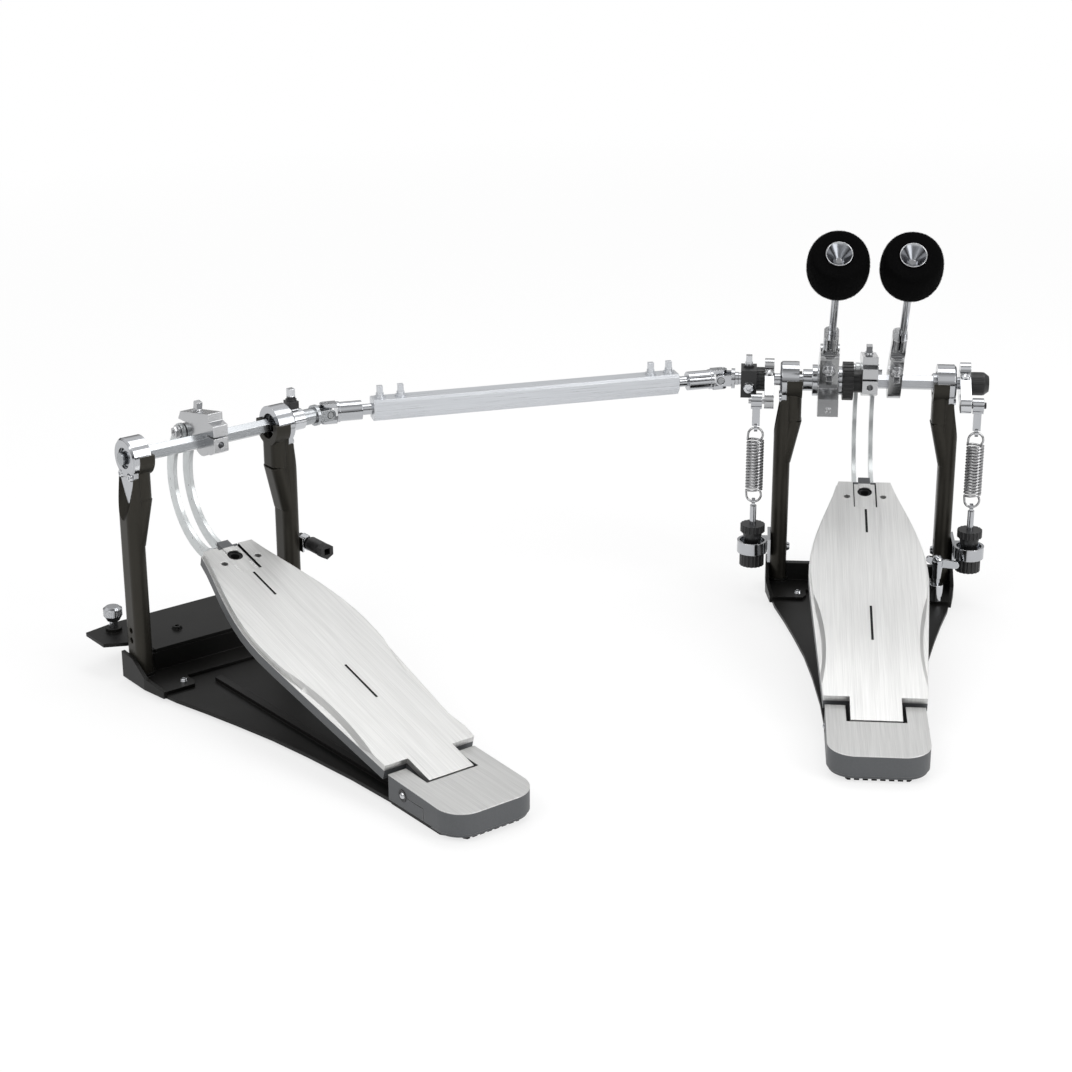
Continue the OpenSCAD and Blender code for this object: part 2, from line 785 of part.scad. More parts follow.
// The felt of a beater with a rounded edge, hollow for the funnel
module felt() {
    translate([0, 0, beater_len]) rotate([head_tilt, 0, 0]) difference() {
        rotate_extrude($fn = 96) polygon(concat([[0, 0]], felt_side, [[0, -beater_h]]));
        translate([0, 0, -cup_deep]) cylinder(r1 = stem_r, r2 = cup_r + 0.4, h = cup_deep + 0.3);
        translate([0, 0, -beater_h - 1]) cylinder(r = stem_r, h = beater_h - cup_deep + 1.1);
        // Hole for the rod, which leans less than the head
        rotate([-head_tilt, 0, 0]) translate([0, 0, -beater_len]) cylinder(r = rod_r, h = beater_len - cup_deep + 0.6);
    }
}

// Spring arm: a clamp on the shaft and a lever to the hook pin
module spring_arm(x0, w) {
    translate([x0, 0, 0]) difference() {
        union() {
            side_plate(0, w) lever([0, shaft_h], 12, [hook_y + 1, hook_z], 7);
            side_plate(0, w) lever([0, shaft_h], 11.4, [-2, shaft_h + 12], 6.4);
            translate([w / 2, -9, shaft_h + 6]) rotate([90, 0, 0]) screw_head(4.6);
        }
        x_rod(journal_r, -1, w + 1, 0, shaft_h);
        translate([-1, -30, shaft_h + 11]) cube([w + 2, 30, 1.2]);
        x_rod(2.6, -1, w + 1, hook_y, hook_z);
    }
    x_rod(2.6, x0, x0 + w, hook_y, hook_z);
}

module left_arm() {
    spring_arm(left_arm_x, left_arm_w);
    x_rod(2.6, left_spring_x - 6.6, left_arm_x + 0.1, hook_y, hook_z);
}

module right_arm() {
    spring_arm(right_arm_x, right_arm_w);
    x_rod(2.6, right_arm_x + right_arm_w - 0.1, right_spring_x + 6.6, hook_y, hook_z);
    // Dark cap on the shaft's end
    difference() {
        union() {
            x_rod(9.5, right_arm_x + right_arm_w, right_arm_x + right_arm_w + cap_w - 4, 0, shaft_h);
            translate([right_arm_x + right_arm_w + cap_w - 4.01, 0, shaft_h]) rotate([0, 90, 0])
                cylinder(r1 = 9.5, r2 = 6.5, h = 4);
        }
        x_rod(journal_r, right_arm_x + right_arm_w - 1, right_arm_x + right_arm_w + 4, 0, shaft_h);
    }
}

// Hook that hangs the spring from the arm's pin
module spring_hook(x) {
    half = 3.2;
    difference() {
        union() {
            x_rod(6, x - half - 1.3, x + half + 1.3, hook_y, hook_z);
            translate([x - half - 1.3, hook_y - 4, hook_z - 6]) cube([2 * half + 2.6, 8, 6]);
            translate([x - half, hook_y - 1.6, hook_eye_z + 2]) cube([2 * half, 3.2, hook_z - 5 - hook_eye_z - 2]);
            // Eye that the spring's loop passes through
            x_rod(3.8, x - eye_t / 2, x + eye_t / 2, hook_y, hook_eye_z + eye_lift);
        }
        x_rod(2.6 + run_gap, x - 30, x + 30, hook_y, hook_z);
        x_rod(eye_hole_r, x - 30, x + 30, hook_y, hook_eye_z + eye_lift);
    }
}

// Points on a spring's centre line, each with the axis point that its ring faces
function ring_point(a, zc, r) = [[r * cos(a), 0, zc + r * sin(a)], [0, 0, zc]];
loop_start = 36;
loop_steps = 15;
function loop_tail() = let (
    a = loop_start,
    p = ring_point(a, -loop_drop, loop_r)
) [[p[0] + wire_d * [-sin(a), 0, cos(a)], p[1]]];
function lower_loop() = [
    for (i = [0:loop_steps]) ring_point(loop_start - i * (loop_start + 180) / loop_steps, -loop_drop, loop_r)
];
function lower_leg() = [
    for (z = [-3.4, -2.2, -1.1]) [[-loop_r - (mid_r - loop_r) * (z + loop_drop) / loop_drop, 0, z], [0, 0, z]]
];
function corner_up() = [[[-mid_r + 0.02, -0.35, -0.4], [0, 0, -0.4]]];
coil_rings = 8;
function coil_point(i) = let (a = 180 + 8 + i * 360 / coil_rings, z = coil_len * i / (coil_rings * spring_turns))
    [[mid_r * cos(a), mid_r * sin(a), z], [0, 0, z]];
function coil() = [for (i = [0:coil_rings * spring_turns - 1]) coil_point(i)];
function flip(list) = [
    for (i = [len(list) - 1:-1:0]) [
        [list[i][0].x, -list[i][0].y, coil_len - list[i][0].z], [0, 0, coil_len - list[i][1].z]
    ]
];
end_path = concat(loop_tail(), lower_loop(), lower_leg(), corner_up());
spring_path = concat(end_path, coil(), flip(end_path));

// Unit vector
function unit(v) = v / norm(v);
function ring_at(path, i, r, sides) = let (
    n = len(path),
    p = path[i][0],
    t = unit(path[min(i + 1, n - 1)][0] - path[max(i - 1, 0)][0]),
    out = p - path[i][1],
    u = unit(out - (out * t) * t),
    w = cross(t, u)
) [for (k = [0:sides - 1]) p + r * (cos(360 * k / sides) * u + sin(360 * k / sides) * w)];

// A tube swept along a path of points
module swept(path, r, sides) {
    n = len(path);
    pts = [for (i = [0:n - 1]) each ring_at(path, i, r, sides)];
    walls = [
        for (i = [0:n - 2], k = [0:sides - 1]) let (
            a = i * sides + k,
            b = i * sides + (k + 1) % sides,
            c = b + sides,
            d = a + sides
        ) each [[a, b, c], [a, c, d]]
    ];
    first = [for (k = [1:sides - 2]) [0, k + 1, k]];
    e = (n - 1) * sides;
    last = [for (k = [1:sides - 2]) [e, e + k, e + k + 1]];
    polyhedron(points = pts, faces = concat(walls, first, last));
}

// Least clear distance between stretches of the wire at least half a turn apart
spring_gap = min([
    for (i = [0:len(spring_path) - 6], j = [i + 5:len(spring_path) - 1])
        norm(spring_path[i][0] - spring_path[j][0]) - wire_d
]);
echo(spring_gap = spring_gap);

module spring(x) {
    translate([x, spring_y, coil_z]) swept(spring_path, wire_d / 2, 6);
}

// Eye rod and the bracket that holds it beside the post, at x, opening toward the post
module spring_anchor(x, side) {
    // Rod with an eye at its top
    translate([x, spring_y, bracket_z - 9]) cylinder(r = 2.7, h = eye_z - bracket_z + 9 - 3);
    difference() {
        x_rod(3.8, x - eye_t / 2, x + eye_t / 2, spring_y, eye_z - eye_lift);
        x_rod(eye_hole_r, x - 5, x + 5, spring_y, eye_z - eye_lift);
    }
    // Bent strip round the rod, with its arm to the post
    difference() {
        union() {
            translate([x, spring_y, bracket_z]) cylinder(r = bracket_r, h = strip_h);
            reach = side * (post_x + post_r) - x;
            translate([x + (reach > 0 ? 0 : reach), spring_y + 1, bracket_z + 1])
                cube([abs(reach), 11.5, strip_h - 1.5]);
            translate([side * (post_x + post_r + anchor_t / 2) - anchor_t / 2, spring_y + 1, post_holes[1] - 6])
                cube([anchor_t, 32, bracket_z + strip_h - 0.5 - post_holes[1] + 6]);
        }
        translate([x, spring_y, bracket_z + 3]) cylinder(r = 10.4, h = 20);
        translate([x, spring_y, bracket_z - 1]) cylinder(r = 2.7, h = 20);
        x_rod(bolt_r, -120, 120, 0, post_holes[1]);
    }
    // Bolt through the post
    x_rod(bolt_r, min(side * 61, side * 79), max(side * 61, side * 79), 0, post_holes[1]);
    translate([side * (post_x + post_r + anchor_t), 0, post_holes[1]]) rotate([0, side * 90, 0]) screw_head(4);
    translate([side * (post_x - post_r), 0, post_holes[1]]) rotate([0, -side * 90, 0]) screw_head(4);
}

// Knurled nut above and below the bracket, with a cone under the upper one
module nuts(x) {
    difference() {
        union() {
            translate([x, spring_y, nut_z]) cylinder(r = nut_r, h = disc_h);
            translate([x, spring_y, bracket_z + 3 + air]) cylinder(r1 = 5.4, r2 = 8.6, h = nut_z - bracket_z - 3);
        }
        translate([x, spring_y, 0]) cylinder(r = 2.7 + run_gap, h = 100);
        for (i = [0:17]) translate([x, spring_y, nut_z - 1]) rotate([0, 0, i * 20])
            translate([nut_r + 0.4, 0, 0]) cylinder(r = 1, h = 15);
    }
    difference() {
        translate([x, spring_y, bracket_z - lower_nut_h]) cylinder(r = nut_r, h = lower_nut_h - air);
        translate([x, spring_y, 0]) cylinder(r = 2.7 + run_gap, h = 100);
        for (i = [0:17]) translate([x, spring_y, 25]) rotate([0, 0, i * 20])
            translate([nut_r + 0.4, 0, 0]) cylinder(r = 1, h = 18);
    }
}

// Sleeve that the second pedal turns: through the left bearing to the left holder
module drive_sleeve() {
    difference() {
        union() {
            x_rod(journal_r, clamp_x - 2, -53.1, 0, shaft_h);
            x_rod(9, -53.2, -45.5, 0, shaft_h);
            x_rod(13, -45.6, -41.4, 0, shaft_h);
            x_rod(9.5, -41.5, collar_x - 0.4, 0, shaft_h);
            x_rod(12, -24, collar_x - 0.4, 0, shaft_h);
        }
        x_rod(stub_r + run_gap, -38, 0, 0, shaft_h);
    }
}

// Dark clamp block on the sleeve's end, with a knurled ring beside it
module drive_clamp() {
    w = ring_x - clamp_x;
    difference() {
        union() {
            translate([clamp_x + w / 2, -2, shaft_h - 1]) cube([w, 22, 23], center = true);
            translate([clamp_x + w / 2, 0, shaft_h + 10.4]) key_bolt();
            translate([clamp_x + w / 2, -12.9, shaft_h - 4]) rotate([90, 0, 0]) screw_head(5.2);
            x_rod(10, ring_x - 0.01, left_arm_x, 0, shaft_h);
        }
        x_rod(journal_r, -140, 0, 0, shaft_h);
        for (i = [0:19]) translate([0, 0, shaft_h]) rotate([i * 18, 0, 0])
            x_rod(0.8, ring_x, left_arm_x + 1, 0, 10.2);
    }
}

// Two ears with holes, at the end of a yoke whose joint centre is at the origin; ears lie on +Y and -Y
module fork(back) {
    for (s = [-1, 1]) difference() {
        union() {
            translate([0, s * (fork_gap + fork_w / 2), 0]) rotate([90, 0, 0])
                cylinder(r = 4.6, h = fork_w, center = true);
            translate([-back, s * (fork_gap + fork_w / 2) - fork_w / 2, -4.6]) cube([back, fork_w, 9.2]);
        }
        rotate([90, 0, 0]) cylinder(r = trunnion_r + 0.5, h = 60, center = true);
    }
}

// Cross with four trunnions; drawn with its arms along Y and Z
module cross_piece() {
    cube([cross_half * 1.7, cross_half * 1.7, cross_half * 1.7], center = true);
    y_rod(trunnion_r, -fork_gap - fork_w, fork_gap + fork_w);
    cylinder(r = trunnion_r, h = 2 * (fork_gap + fork_w), center = true);
}

// Yoke on the left clamp; its ears reach left to the joint
module drive_yoke() {
    translate([joint1_x, 0, shaft_h]) mirror([1, 0, 0]) fork(8.6);
    x_rod(fork_r, joint1_x + 8.5, joint1_x + 11.5, 0, shaft_h);
    x_rod(5.4, joint1_x + 11.4, clamp_x - 2, 0, shaft_h);
}

// Cross of the joint beside the main pedal
module main_cross() {
    translate([joint1_x, 0, shaft_h]) cross_piece();
}

// Rod, sleeve and fork on the main side of the channel
module main_rod() {
    on_line() {
        translate([line_len, 0, 0]) rotate([90, 0, 0]) fork(8.6);
        x_rod(fork_r, line_len - 11, line_len - 8.5);
        difference() {
            x_rod(sleeve_r, line_len - 30, line_len - 10.9);
            x_rod(link_rod_r, line_len - 31, line_len - 14);
        }
        x_rod(link_rod_r, line_len - 95, line_len - 14);
    }
}

// Extruded channel, open along its far side, with two clamp bolts at each end
module channel() {
    h = channel_half;
    inner = h - channel_wall;
    on_line() {
        difference() {
            side_plate(channel_from, channel_to) polygon([
                [-h, -h + 5], [-h + 4, -h], [h - 2, -h], [h, -h + 2], [h, h - 2], [h - 2, h],
                [-h + 2, h], [-h, h - 2]
            ]);
            side_plate(channel_from - 1, channel_to + 1) translate([0, 0]) circle(link_rod_r + air / 2);
            side_plate(channel_from - 1, channel_to + 1) polygon([[0, -1.5], [h + 1, -1.5], [h + 1, 1.5], [0, 1.5]]);
            translate([channel_from + 70, -inner + 1, -inner + 1])
                cube([channel_to - channel_from - 140, 2 * h, 2 * inner - 2]);
        }
        for (x = [channel_from + 6.5, channel_from + 23.5, channel_to - 22.5, channel_to - 7])
            translate([x, 0, channel_half - 0.01]) key_bolt(4.4);
    }
}

// Rod, sleeve and fork on the second pedal's side
module second_rod() {
    on_line() {
        mirror([1, 0, 0]) rotate([90, 0, 0]) fork(8.6);
        x_rod(fork_r, 8.5, 11);
        x_rod(sleeve_r, 10.9, 29);
        x_rod(link_rod_r, 28.9, 95);
    }
}

module second_cross() {
    second() translate([second_joint_x, 0, shaft_h]) cross_piece();
}

// Shaft of the second pedal, with its yoke
module second_shaft_bar() {
    second() {
        x_rod(journal_r, -75, -53.9, 0, shaft_h);
        hex_bar(-54, 54);
        x_rod(journal_r, 53.9, 90, 0, shaft_h);
        x_rod(fork_r, second_joint_x - 11.5, second_joint_x - 8.5, 0, shaft_h);
        x_rod(6.4, 86, second_joint_x - 11.4, 0, shaft_h);
        translate([second_joint_x, 0, shaft_h]) fork(8.6);
    }
}

// Dark clamp with a bolt behind the second pedal's right bearing
module second_clamp() {
    second() difference() {
        union() {
            x_rod(8.4, 74, 85.5, 0, shaft_h);
            translate([75.5, -1, shaft_h]) cube([8, 10, 15]);
            translate([79.5, 4, shaft_h + 14.9]) key_bolt();
        }
        x_rod(journal_r, 70, 90, 0, shaft_h);
    }
}

// Plate on the second pedal's crossbar that carries the two floor spikes
module front_plate() {
    second() difference() {
        union() {
            translate([0, 0, wall_top]) linear_extrude(3) polygon([
                [-59, -6], [-59, 14], [-86, 28], [-86, 57], [-59, 62], [59, 62], [86, 57], [86, 28],
                [59, 14], [59, -6]
            ]);
            // Turned-down edge and the screws that hold the plate
            translate([-59, 59, wall_top - 8]) cube([118, 3, 8.01]);
            both_sides() translate([25, 20, wall_top + 3]) screw_head(4.4);
            both_sides() translate([66, 48, wall_top + 2.9]) cylinder(r = 6.5, h = 3);
        }
        both_sides() translate([66, 48, 0]) cylinder(r = 3.5, h = 60);
    }
}

// Height of the spikes' points when they are drawn up
spike_lift = 15.5;

// Thumb bolt with a pointed end that grips the floor
module spike_bolt() {
    translate([66, 48, 0]) {
        translate([0, 0, spike_lift]) cylinder(r1 = 0.6, r2 = 3.4, h = 7);
        translate([0, 0, spike_lift + 6.99]) cylinder(r = 3.4, h = 30 - spike_lift);
        difference() {
            translate([0, 0, wall_top + 12]) cylinder(r1 = 5.2, r2 = 7.4, h = 4);
            translate([0, 0, wall_top + 10]) cylinder(r = 3, h = 2);
        }
        translate([0, 0, wall_top + 15.9]) cylinder(r = 7.4, h = 6);
        translate([0, 0, wall_top + 21.8]) cylinder(r1 = 7.4, r2 = 5.4, h = 1.6);
    }
}

// Tuning key held in a clip on the second pedal's right post
key_from = [post_x + post_r + 7.6, 0, 83];
key_turn = -90;
module key_tool() {
    second() translate(key_from) rotate([0, 0, key_turn]) rotate([0, 90, 0]) difference() {
        union() {
            translate([0, 0, -5]) cylinder(r = 4.4, h = 29);
            translate([0, 0, 12]) cylinder(r = 5.8, h = 17);
            translate([0, 0, 28.9]) cylinder(r = 6.6, h = 6, $fn = 6);
        }
        translate([-2.6, -2.6, 24]) cube([5.2, 5.2, 20]);
    }
}

// Clip for the key, fixed to the post
module key_clip() {
    translate([post_x + post_r, -11, 77]) cube([1.4, 14, 12]);
    translate(key_from) rotate([0, 0, key_turn]) rotate([0, 90, 0]) translate([0, 0, 2]) difference() {
        cylinder(r = 6.4, h = 8);
        translate([0, 0, -1]) cylinder(r = 4.4 + air, h = 20);
        translate([-20, 0, -1]) cube([40, 20, 20]);
    }
}

// Lower jaw of the hoop clamp with its side arm
jaw_y = -18;
jaw_z = 14;
module clamp_lever() {
    difference() {
        union() {
            side_plate(-24, 24) polygon([
                [-24, 10.6], [-24, 15], [-18, 18], [2, 16], [30, 17.5], [34, 21], [37, 21], [37, 13], [2, 10.6]
            ]);
            x_rod(4, -24, 60, jaw_y, jaw_z);
            side_plate(56, 60) lever([jaw_y, jaw_z], 4, [-32, jaw_z + 1], 3.6);
        }
        x_rod(2.5 + run_gap, -30, 70, jaw_y, jaw_z);
    }
}

// Fixed parts of the hoop clamp: pivot ears and the upper jaw
module clamp_frame() {
    x_rod(2.5, -34, 64, jaw_y, jaw_z);
    for (x = [-34, 60.6]) translate([x, jaw_y - 6, plate_top]) difference() {
        union() {
            cube([4, 12, jaw_z - plate_top]);
            translate([0, 6, jaw_z - plate_top]) rotate([0, 90, 0]) cylinder(r = 6, h = 4);
        }
        translate([-1, 6, jaw_z - plate_top]) rotate([0, 90, 0]) cylinder(r = 2.5, h = 8);
    }
    // Upper jaw that rests on the drum's hoop
    translate([-30, -0.01, wall_top + 8]) cube([60, 38, 5]);
    translate([-30, -6, wall_top - 0.01]) cube([60, 6, 13.01]);
}

// Wing bolt that tightens the hoop clamp, leaning toward the pedal's middle
wing_at = [62.4, -42, 9];
module wing_place() {
    translate(wing_at) children();
}

module wing_bolt() {
    wing_place() {
        translate([0, 0, 3]) cylinder(r = 2.6, h = 22);
        translate([0, 0, 19]) cylinder(r1 = 3.2, r2 = 4.8, h = 15);
        translate([0, 0, 34.6]) sphere(r = 5);
        rotate([90, 0, 0]) linear_extrude(3.4, center = true) {
            lever([0, 33], 3.6, [14.8, 31.4], 3);
            lever([0, 33], 3.6, [-7, 36], 2.6);
        }
    }
}

// Swivel nut that the wing bolt screws into, fixed to the base
module wing_nut_seat() {
    wing_place() difference() {
        cylinder(r = 5.7, h = 14);
        translate([0, 0, 2.4]) cylinder(r = 2.6 + run_gap, h = 20);
    }
}

module main_base_plate() {
    color(black_paint) base_plate();
}

module main_toe_frame() {
    color(black_paint) {
        toe_frame(true);
        clamp_frame();
    }
}

module main_rubber_pads() {
    color(rubber_black) {
        toe_pad();
        heel_pad();
        translate([-28, 3, wall_top + 5.8]) cube([56, 34, 2.2]);
    }
}

module main_left_post() {
    color(black_paint) mirror([1, 0, 0]) post();
}

module main_right_post() {
    color(black_paint) post();
}

module main_housings() {
    color(bright_metal) housings();
}

module main_bearings() {
    color(dark_steel) bearings();
}

module main_fasteners() {
    color(bright_metal) {
        fasteners();
        wing_nut_seat();
    }
}

module main_heel_block() {
    color(board_metal) heel_block();
}

module left_spring_anchor() {
    color(bright_metal) spring_anchor(left_spring_x, -1);
}

module right_spring_anchor() {
    color(bright_metal) spring_anchor(right_spring_x, 1);
}

module main_footboard() {
    color(board_metal) footboard();
}

module main_link_foot() {
    color(side_grey) link_foot();
}

module main_link_bars() {
    color(bright_metal) link_bars();
}

module main_shaft() {
    color(bright_metal) main_shaft_bar();
}

module main_cam() {
    color(bright_metal) cam_block();
}

module shaft_collar() {
    color(rubber_black) collar();
}

module right_beater_holder() {
    color(bright_metal) right_holder();
}

module right_spring_arm() {
    color(bright_metal) right_arm();
}

module right_beater_rod() {
    color(bright_metal) leaning(right_beater_x) rod_and_cup();
}

module right_beater_head() {
    color(rubber_black) leaning(right_beater_x) felt();
}

module left_drive_sleeve() {
    color(bright_metal) drive_sleeve();
}

module left_beater_holder() {
    color(bright_metal) left_holder();
}

module left_spring_arm() {
    color(bright_metal) left_arm();
}

module left_drive_clamp() {
    color(rubber_black) drive_clamp();
}

module left_drive_yoke() {
    color(bright_metal) drive_yoke();
}

module left_beater_rod() {
    color(bright_metal) leaning(left_beater_x) rod_and_cup();
}

module left_beater_head() {
    color(rubber_black) leaning(left_beater_x) felt();
}

module left_spring() {
    color(bright_metal) spring(left_spring_x);
}

module right_spring() {
    color(bright_metal) spring(right_spring_x);
}

module left_spring_hook() {
    color(bright_metal) spring_hook(left_spring_x);
}

module right_spring_hook() {
    color(bright_metal) spring_hook(right_spring_x);
}

module left_spring_nuts() {
    color(rubber_black) nuts(left_spring_x);
}

module right_spring_nuts() {
    color(rubber_black) nuts(right_spring_x);
}

module hoop_clamp_lever() {
    color(dark_steel) clamp_lever();
}

module hoop_wing_bolt() {
    color(bright_metal) wing_bolt();
}

module main_joint_cross() {
    color(dark_steel) main_cross();
}

module main_side_rod() {
    color(bright_metal) main_rod();
}

module linkage_channel() {
    color(bright_metal) channel();
}

module second_side_rod() {
    color(bright_metal) second_rod();
}

module second_joint_cross() {
    color(dark_steel) second_cross();
}

module second_base_plate() {
    color(black_paint) second() base_plate();
}

module second_toe_frame() {
    color(black_paint) second() toe_frame(false);
}

module second_rubber_pads() {
    color(rubber_black) second() {
        toe_pad();
        heel_pad();
    }
}

module second_left_post() {
    color(black_paint) second() mirror([1, 0, 0]) post();
}

module second_right_post() {
    color(black_paint) second() post();
}

module second_housings() {
    color(bright_metal) second() housings();
}

module second_bearings() {
    color(dark_steel) second() bearings();
}

module second_fasteners() {
    color(bright_metal) second() {
        fasteners();
        key_clip();
    }
}

module second_heel_block() {
    color(board_metal) second() heel_block();
}

module second_footboard() {
    color(board_metal) second() footboard();
}

module second_link_foot() {
    color(side_grey) second() link_foot();
}

module second_link_bars() {
    color(bright_metal) second() link_bars();
}

module second_shaft() {
    color(bright_metal) second_shaft_bar();
}

module second_cam() {
    color(bright_metal) second() cam_block();
}

module second_drive_clamp() {
    color(rubber_black) second_clamp();
}

module second_front_plate() {
    color(black_paint) front_plate();
}

module left_spike_bolt() {
    color(bright_metal) second() mirror([1, 0, 0]) spike_bolt();
}

module right_spike_bolt() {
    color(bright_metal) second() spike_bolt();
}

module drum_key() {
    color(rubber_black) key_tool();
}

main_base_plate();
main_toe_frame();
main_rubber_pads();
main_left_post();
main_right_post();
main_housings();
main_bearings();
main_fasteners();
main_heel_block();
left_spring_anchor();
right_spring_anchor();
main_footboard();
main_link_foot();
main_link_bars();
main_shaft();
main_cam();
shaft_collar();
right_beater_holder();
right_spring_arm();
right_beater_rod();
right_beater_head();
left_drive_sleeve();
left_beater_holder();
left_spring_arm();
left_drive_clamp();
left_drive_yoke();
left_beater_rod();
left_beater_head();
left_spring();
right_spring();
left_spring_hook();
right_spring_hook();
left_spring_nuts();
right_spring_nuts();
hoop_clamp_lever();
hoop_wing_bolt();
main_joint_cross();
main_side_rod();
linkage_channel();
second_side_rod();
second_joint_cross();
second_base_plate();
second_toe_frame();
second_rubber_pads();
second_left_post();
second_right_post();
second_housings();
second_bearings();
second_fasteners();
second_heel_block();
second_footboard();
second_link_foot();
second_link_bars();
second_shaft();
second_cam();
second_drive_clamp();
second_front_plate();
left_spike_bolt();
right_spike_bolt();
drum_key();
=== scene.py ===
# %% [markdown]
# # Dressing a double bass drum pedal
#
# Two pedals stand on a pale floor. The right one carries two felt beaters on one axle, and the left one
# drives its beater through a telescopic linkage. The construction model already holds every bar, pin and
# bolt at full size. This lesson adds what that model leaves out: metal finishes, paint, rubber, felt
# with its fuzz, and springs wound from round wire.

# %% Load the construction model
import math

import bpy
from mathutils import Matrix, Vector, noise


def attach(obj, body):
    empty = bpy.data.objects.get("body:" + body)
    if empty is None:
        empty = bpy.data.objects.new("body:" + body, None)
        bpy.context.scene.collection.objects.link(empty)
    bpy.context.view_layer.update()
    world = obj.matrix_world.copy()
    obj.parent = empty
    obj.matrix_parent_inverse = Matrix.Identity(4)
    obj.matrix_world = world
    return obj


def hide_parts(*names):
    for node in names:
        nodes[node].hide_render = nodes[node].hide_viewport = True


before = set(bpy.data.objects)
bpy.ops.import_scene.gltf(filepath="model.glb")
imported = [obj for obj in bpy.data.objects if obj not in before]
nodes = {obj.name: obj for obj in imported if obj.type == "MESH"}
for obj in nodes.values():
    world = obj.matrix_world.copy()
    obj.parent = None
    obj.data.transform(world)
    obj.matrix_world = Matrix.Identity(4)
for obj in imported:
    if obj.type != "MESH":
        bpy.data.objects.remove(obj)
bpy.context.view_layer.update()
scene = bpy.context.scene
print("pieces in the model:", len(nodes))

# %% [markdown]
# ## Places that several steps share
#
# A pattern such as brushed grain has to run along the piece, whichever way the piece stands. So each
# pedal, each footboard and the linkage get a place of their own: a point, a tilt and a turn. The
# materials read their pattern in that place.

# %% Named places
MM = 0.001
SHAFT_HEIGHT = 185 * MM
BOARD_TILT = math.radians(15.2)
HINGE = Vector((0, -311 * MM, 15.6 * MM))
SECOND_TURN = math.radians(42.65)
SECOND_ORIGIN = Vector((-513.5 * MM, -192.4 * MM, 0))
LINKAGE_TURN = math.radians(20.817)


def on_second(point):
    """A point of the main pedal, moved to the same spot of the second pedal."""
    return Matrix.Rotation(SECOND_TURN, 3, "Z") @ Vector(point) + SECOND_ORIGIN


MAIN = (Vector((0, 0, 0)), 0, 0)
SECOND = (SECOND_ORIGIN, 0, SECOND_TURN)
MAIN_BOARD = (HINGE, BOARD_TILT, 0)
SECOND_BOARD = (on_second(HINGE), BOARD_TILT, SECOND_TURN)
PEDALS = {"main": (MAIN, MAIN_BOARD), "second": (SECOND, SECOND_BOARD)}
LINKAGE = (on_second((108.5 * MM, 0, SHAFT_HEIGHT)), 0, LINKAGE_TURN)

# %% [markdown]
# ## Writing shader maths as sums
#
# A material is a graph of nodes, and a formula such as `1 - mask * 0.4` needs several Math nodes. One
# small class wraps a node's output and overloads the operators, so that the formula can be written as
# it is read. Every other node comes from one method, which takes its type, its settings and its inputs.


# %% Shader helpers
class Wire:
    """An output of a node that can be used in a sum."""

    def __init__(self, tree, socket):
        self.tree = tree
        self.socket = socket

    def maths(self, operation, *values):
        return self.tree.node("ShaderNodeMath", {"operation": operation}, dict(enumerate(values)))[0]

    def __add__(self, other):
        return self.maths("ADD", self, other)

    def __sub__(self, other):
        return self.maths("SUBTRACT", self, other)

    def __mul__(self, other):
        return self.maths("MULTIPLY", self, other)

    def __rsub__(self, other):
        return self.maths("SUBTRACT", other, self)

    def __gt__(self, other):
        return self.maths("GREATER_THAN", self, other)

    def __lt__(self, other):
        return self.maths("LESS_THAN", self, other)

    def __or__(self, other):
        return self.maths("MAXIMUM", self, other)

    def __abs__(self):
        return self.maths("ABSOLUTE", self)

    __radd__ = __add__
    __rmul__ = __mul__


class NodeTree:
    """A shader tree that hands out its nodes' outputs as wires."""

    def __init__(self, tree):
        self.tree = tree

    def node(self, kind, settings=(), inputs=()):
        made = self.tree.nodes.new(kind)
        for key, value in dict(settings).items():
            if key == "stops":
                ramp = made.color_ramp
                while len(ramp.elements) < len(value):
                    ramp.elements.new(0.5)
                for element, (position, grey) in zip(ramp.elements, value):
                    element.position = position
                    element.color = (grey, grey, grey, 1)
            else:
                setattr(made, key, value)
        for key, value in dict(inputs).items():
            if isinstance(value, Wire):
                self.tree.links.new(value.socket, made.inputs[key])
            else:
                made.inputs[key].default_value = value
        return [Wire(self, socket) for socket in made.outputs]

    def vector_maths(self, operation, *values):
        """Both outputs of a Vector Math node: the vector, then the number."""
        return self.node("ShaderNodeVectorMath", {"operation": operation}, dict(enumerate(values)))

    def ramp(self, value, *stops):
        """Grey levels at positions from 0 to 1, blended between."""
        return self.node("ShaderNodeValToRGB", {"stops": stops}, {"Fac": value})[0]

    def mix(self, factor, first, second):
        """Goes from the first colour to the second as factor goes from 0 to 1."""
        first, second = (c if isinstance(c, Wire) else (*c, 1) for c in (first, second))
        return self.node("ShaderNodeMix", {"data_type": "RGBA"}, {0: factor, 6: first, 7: second})[2]


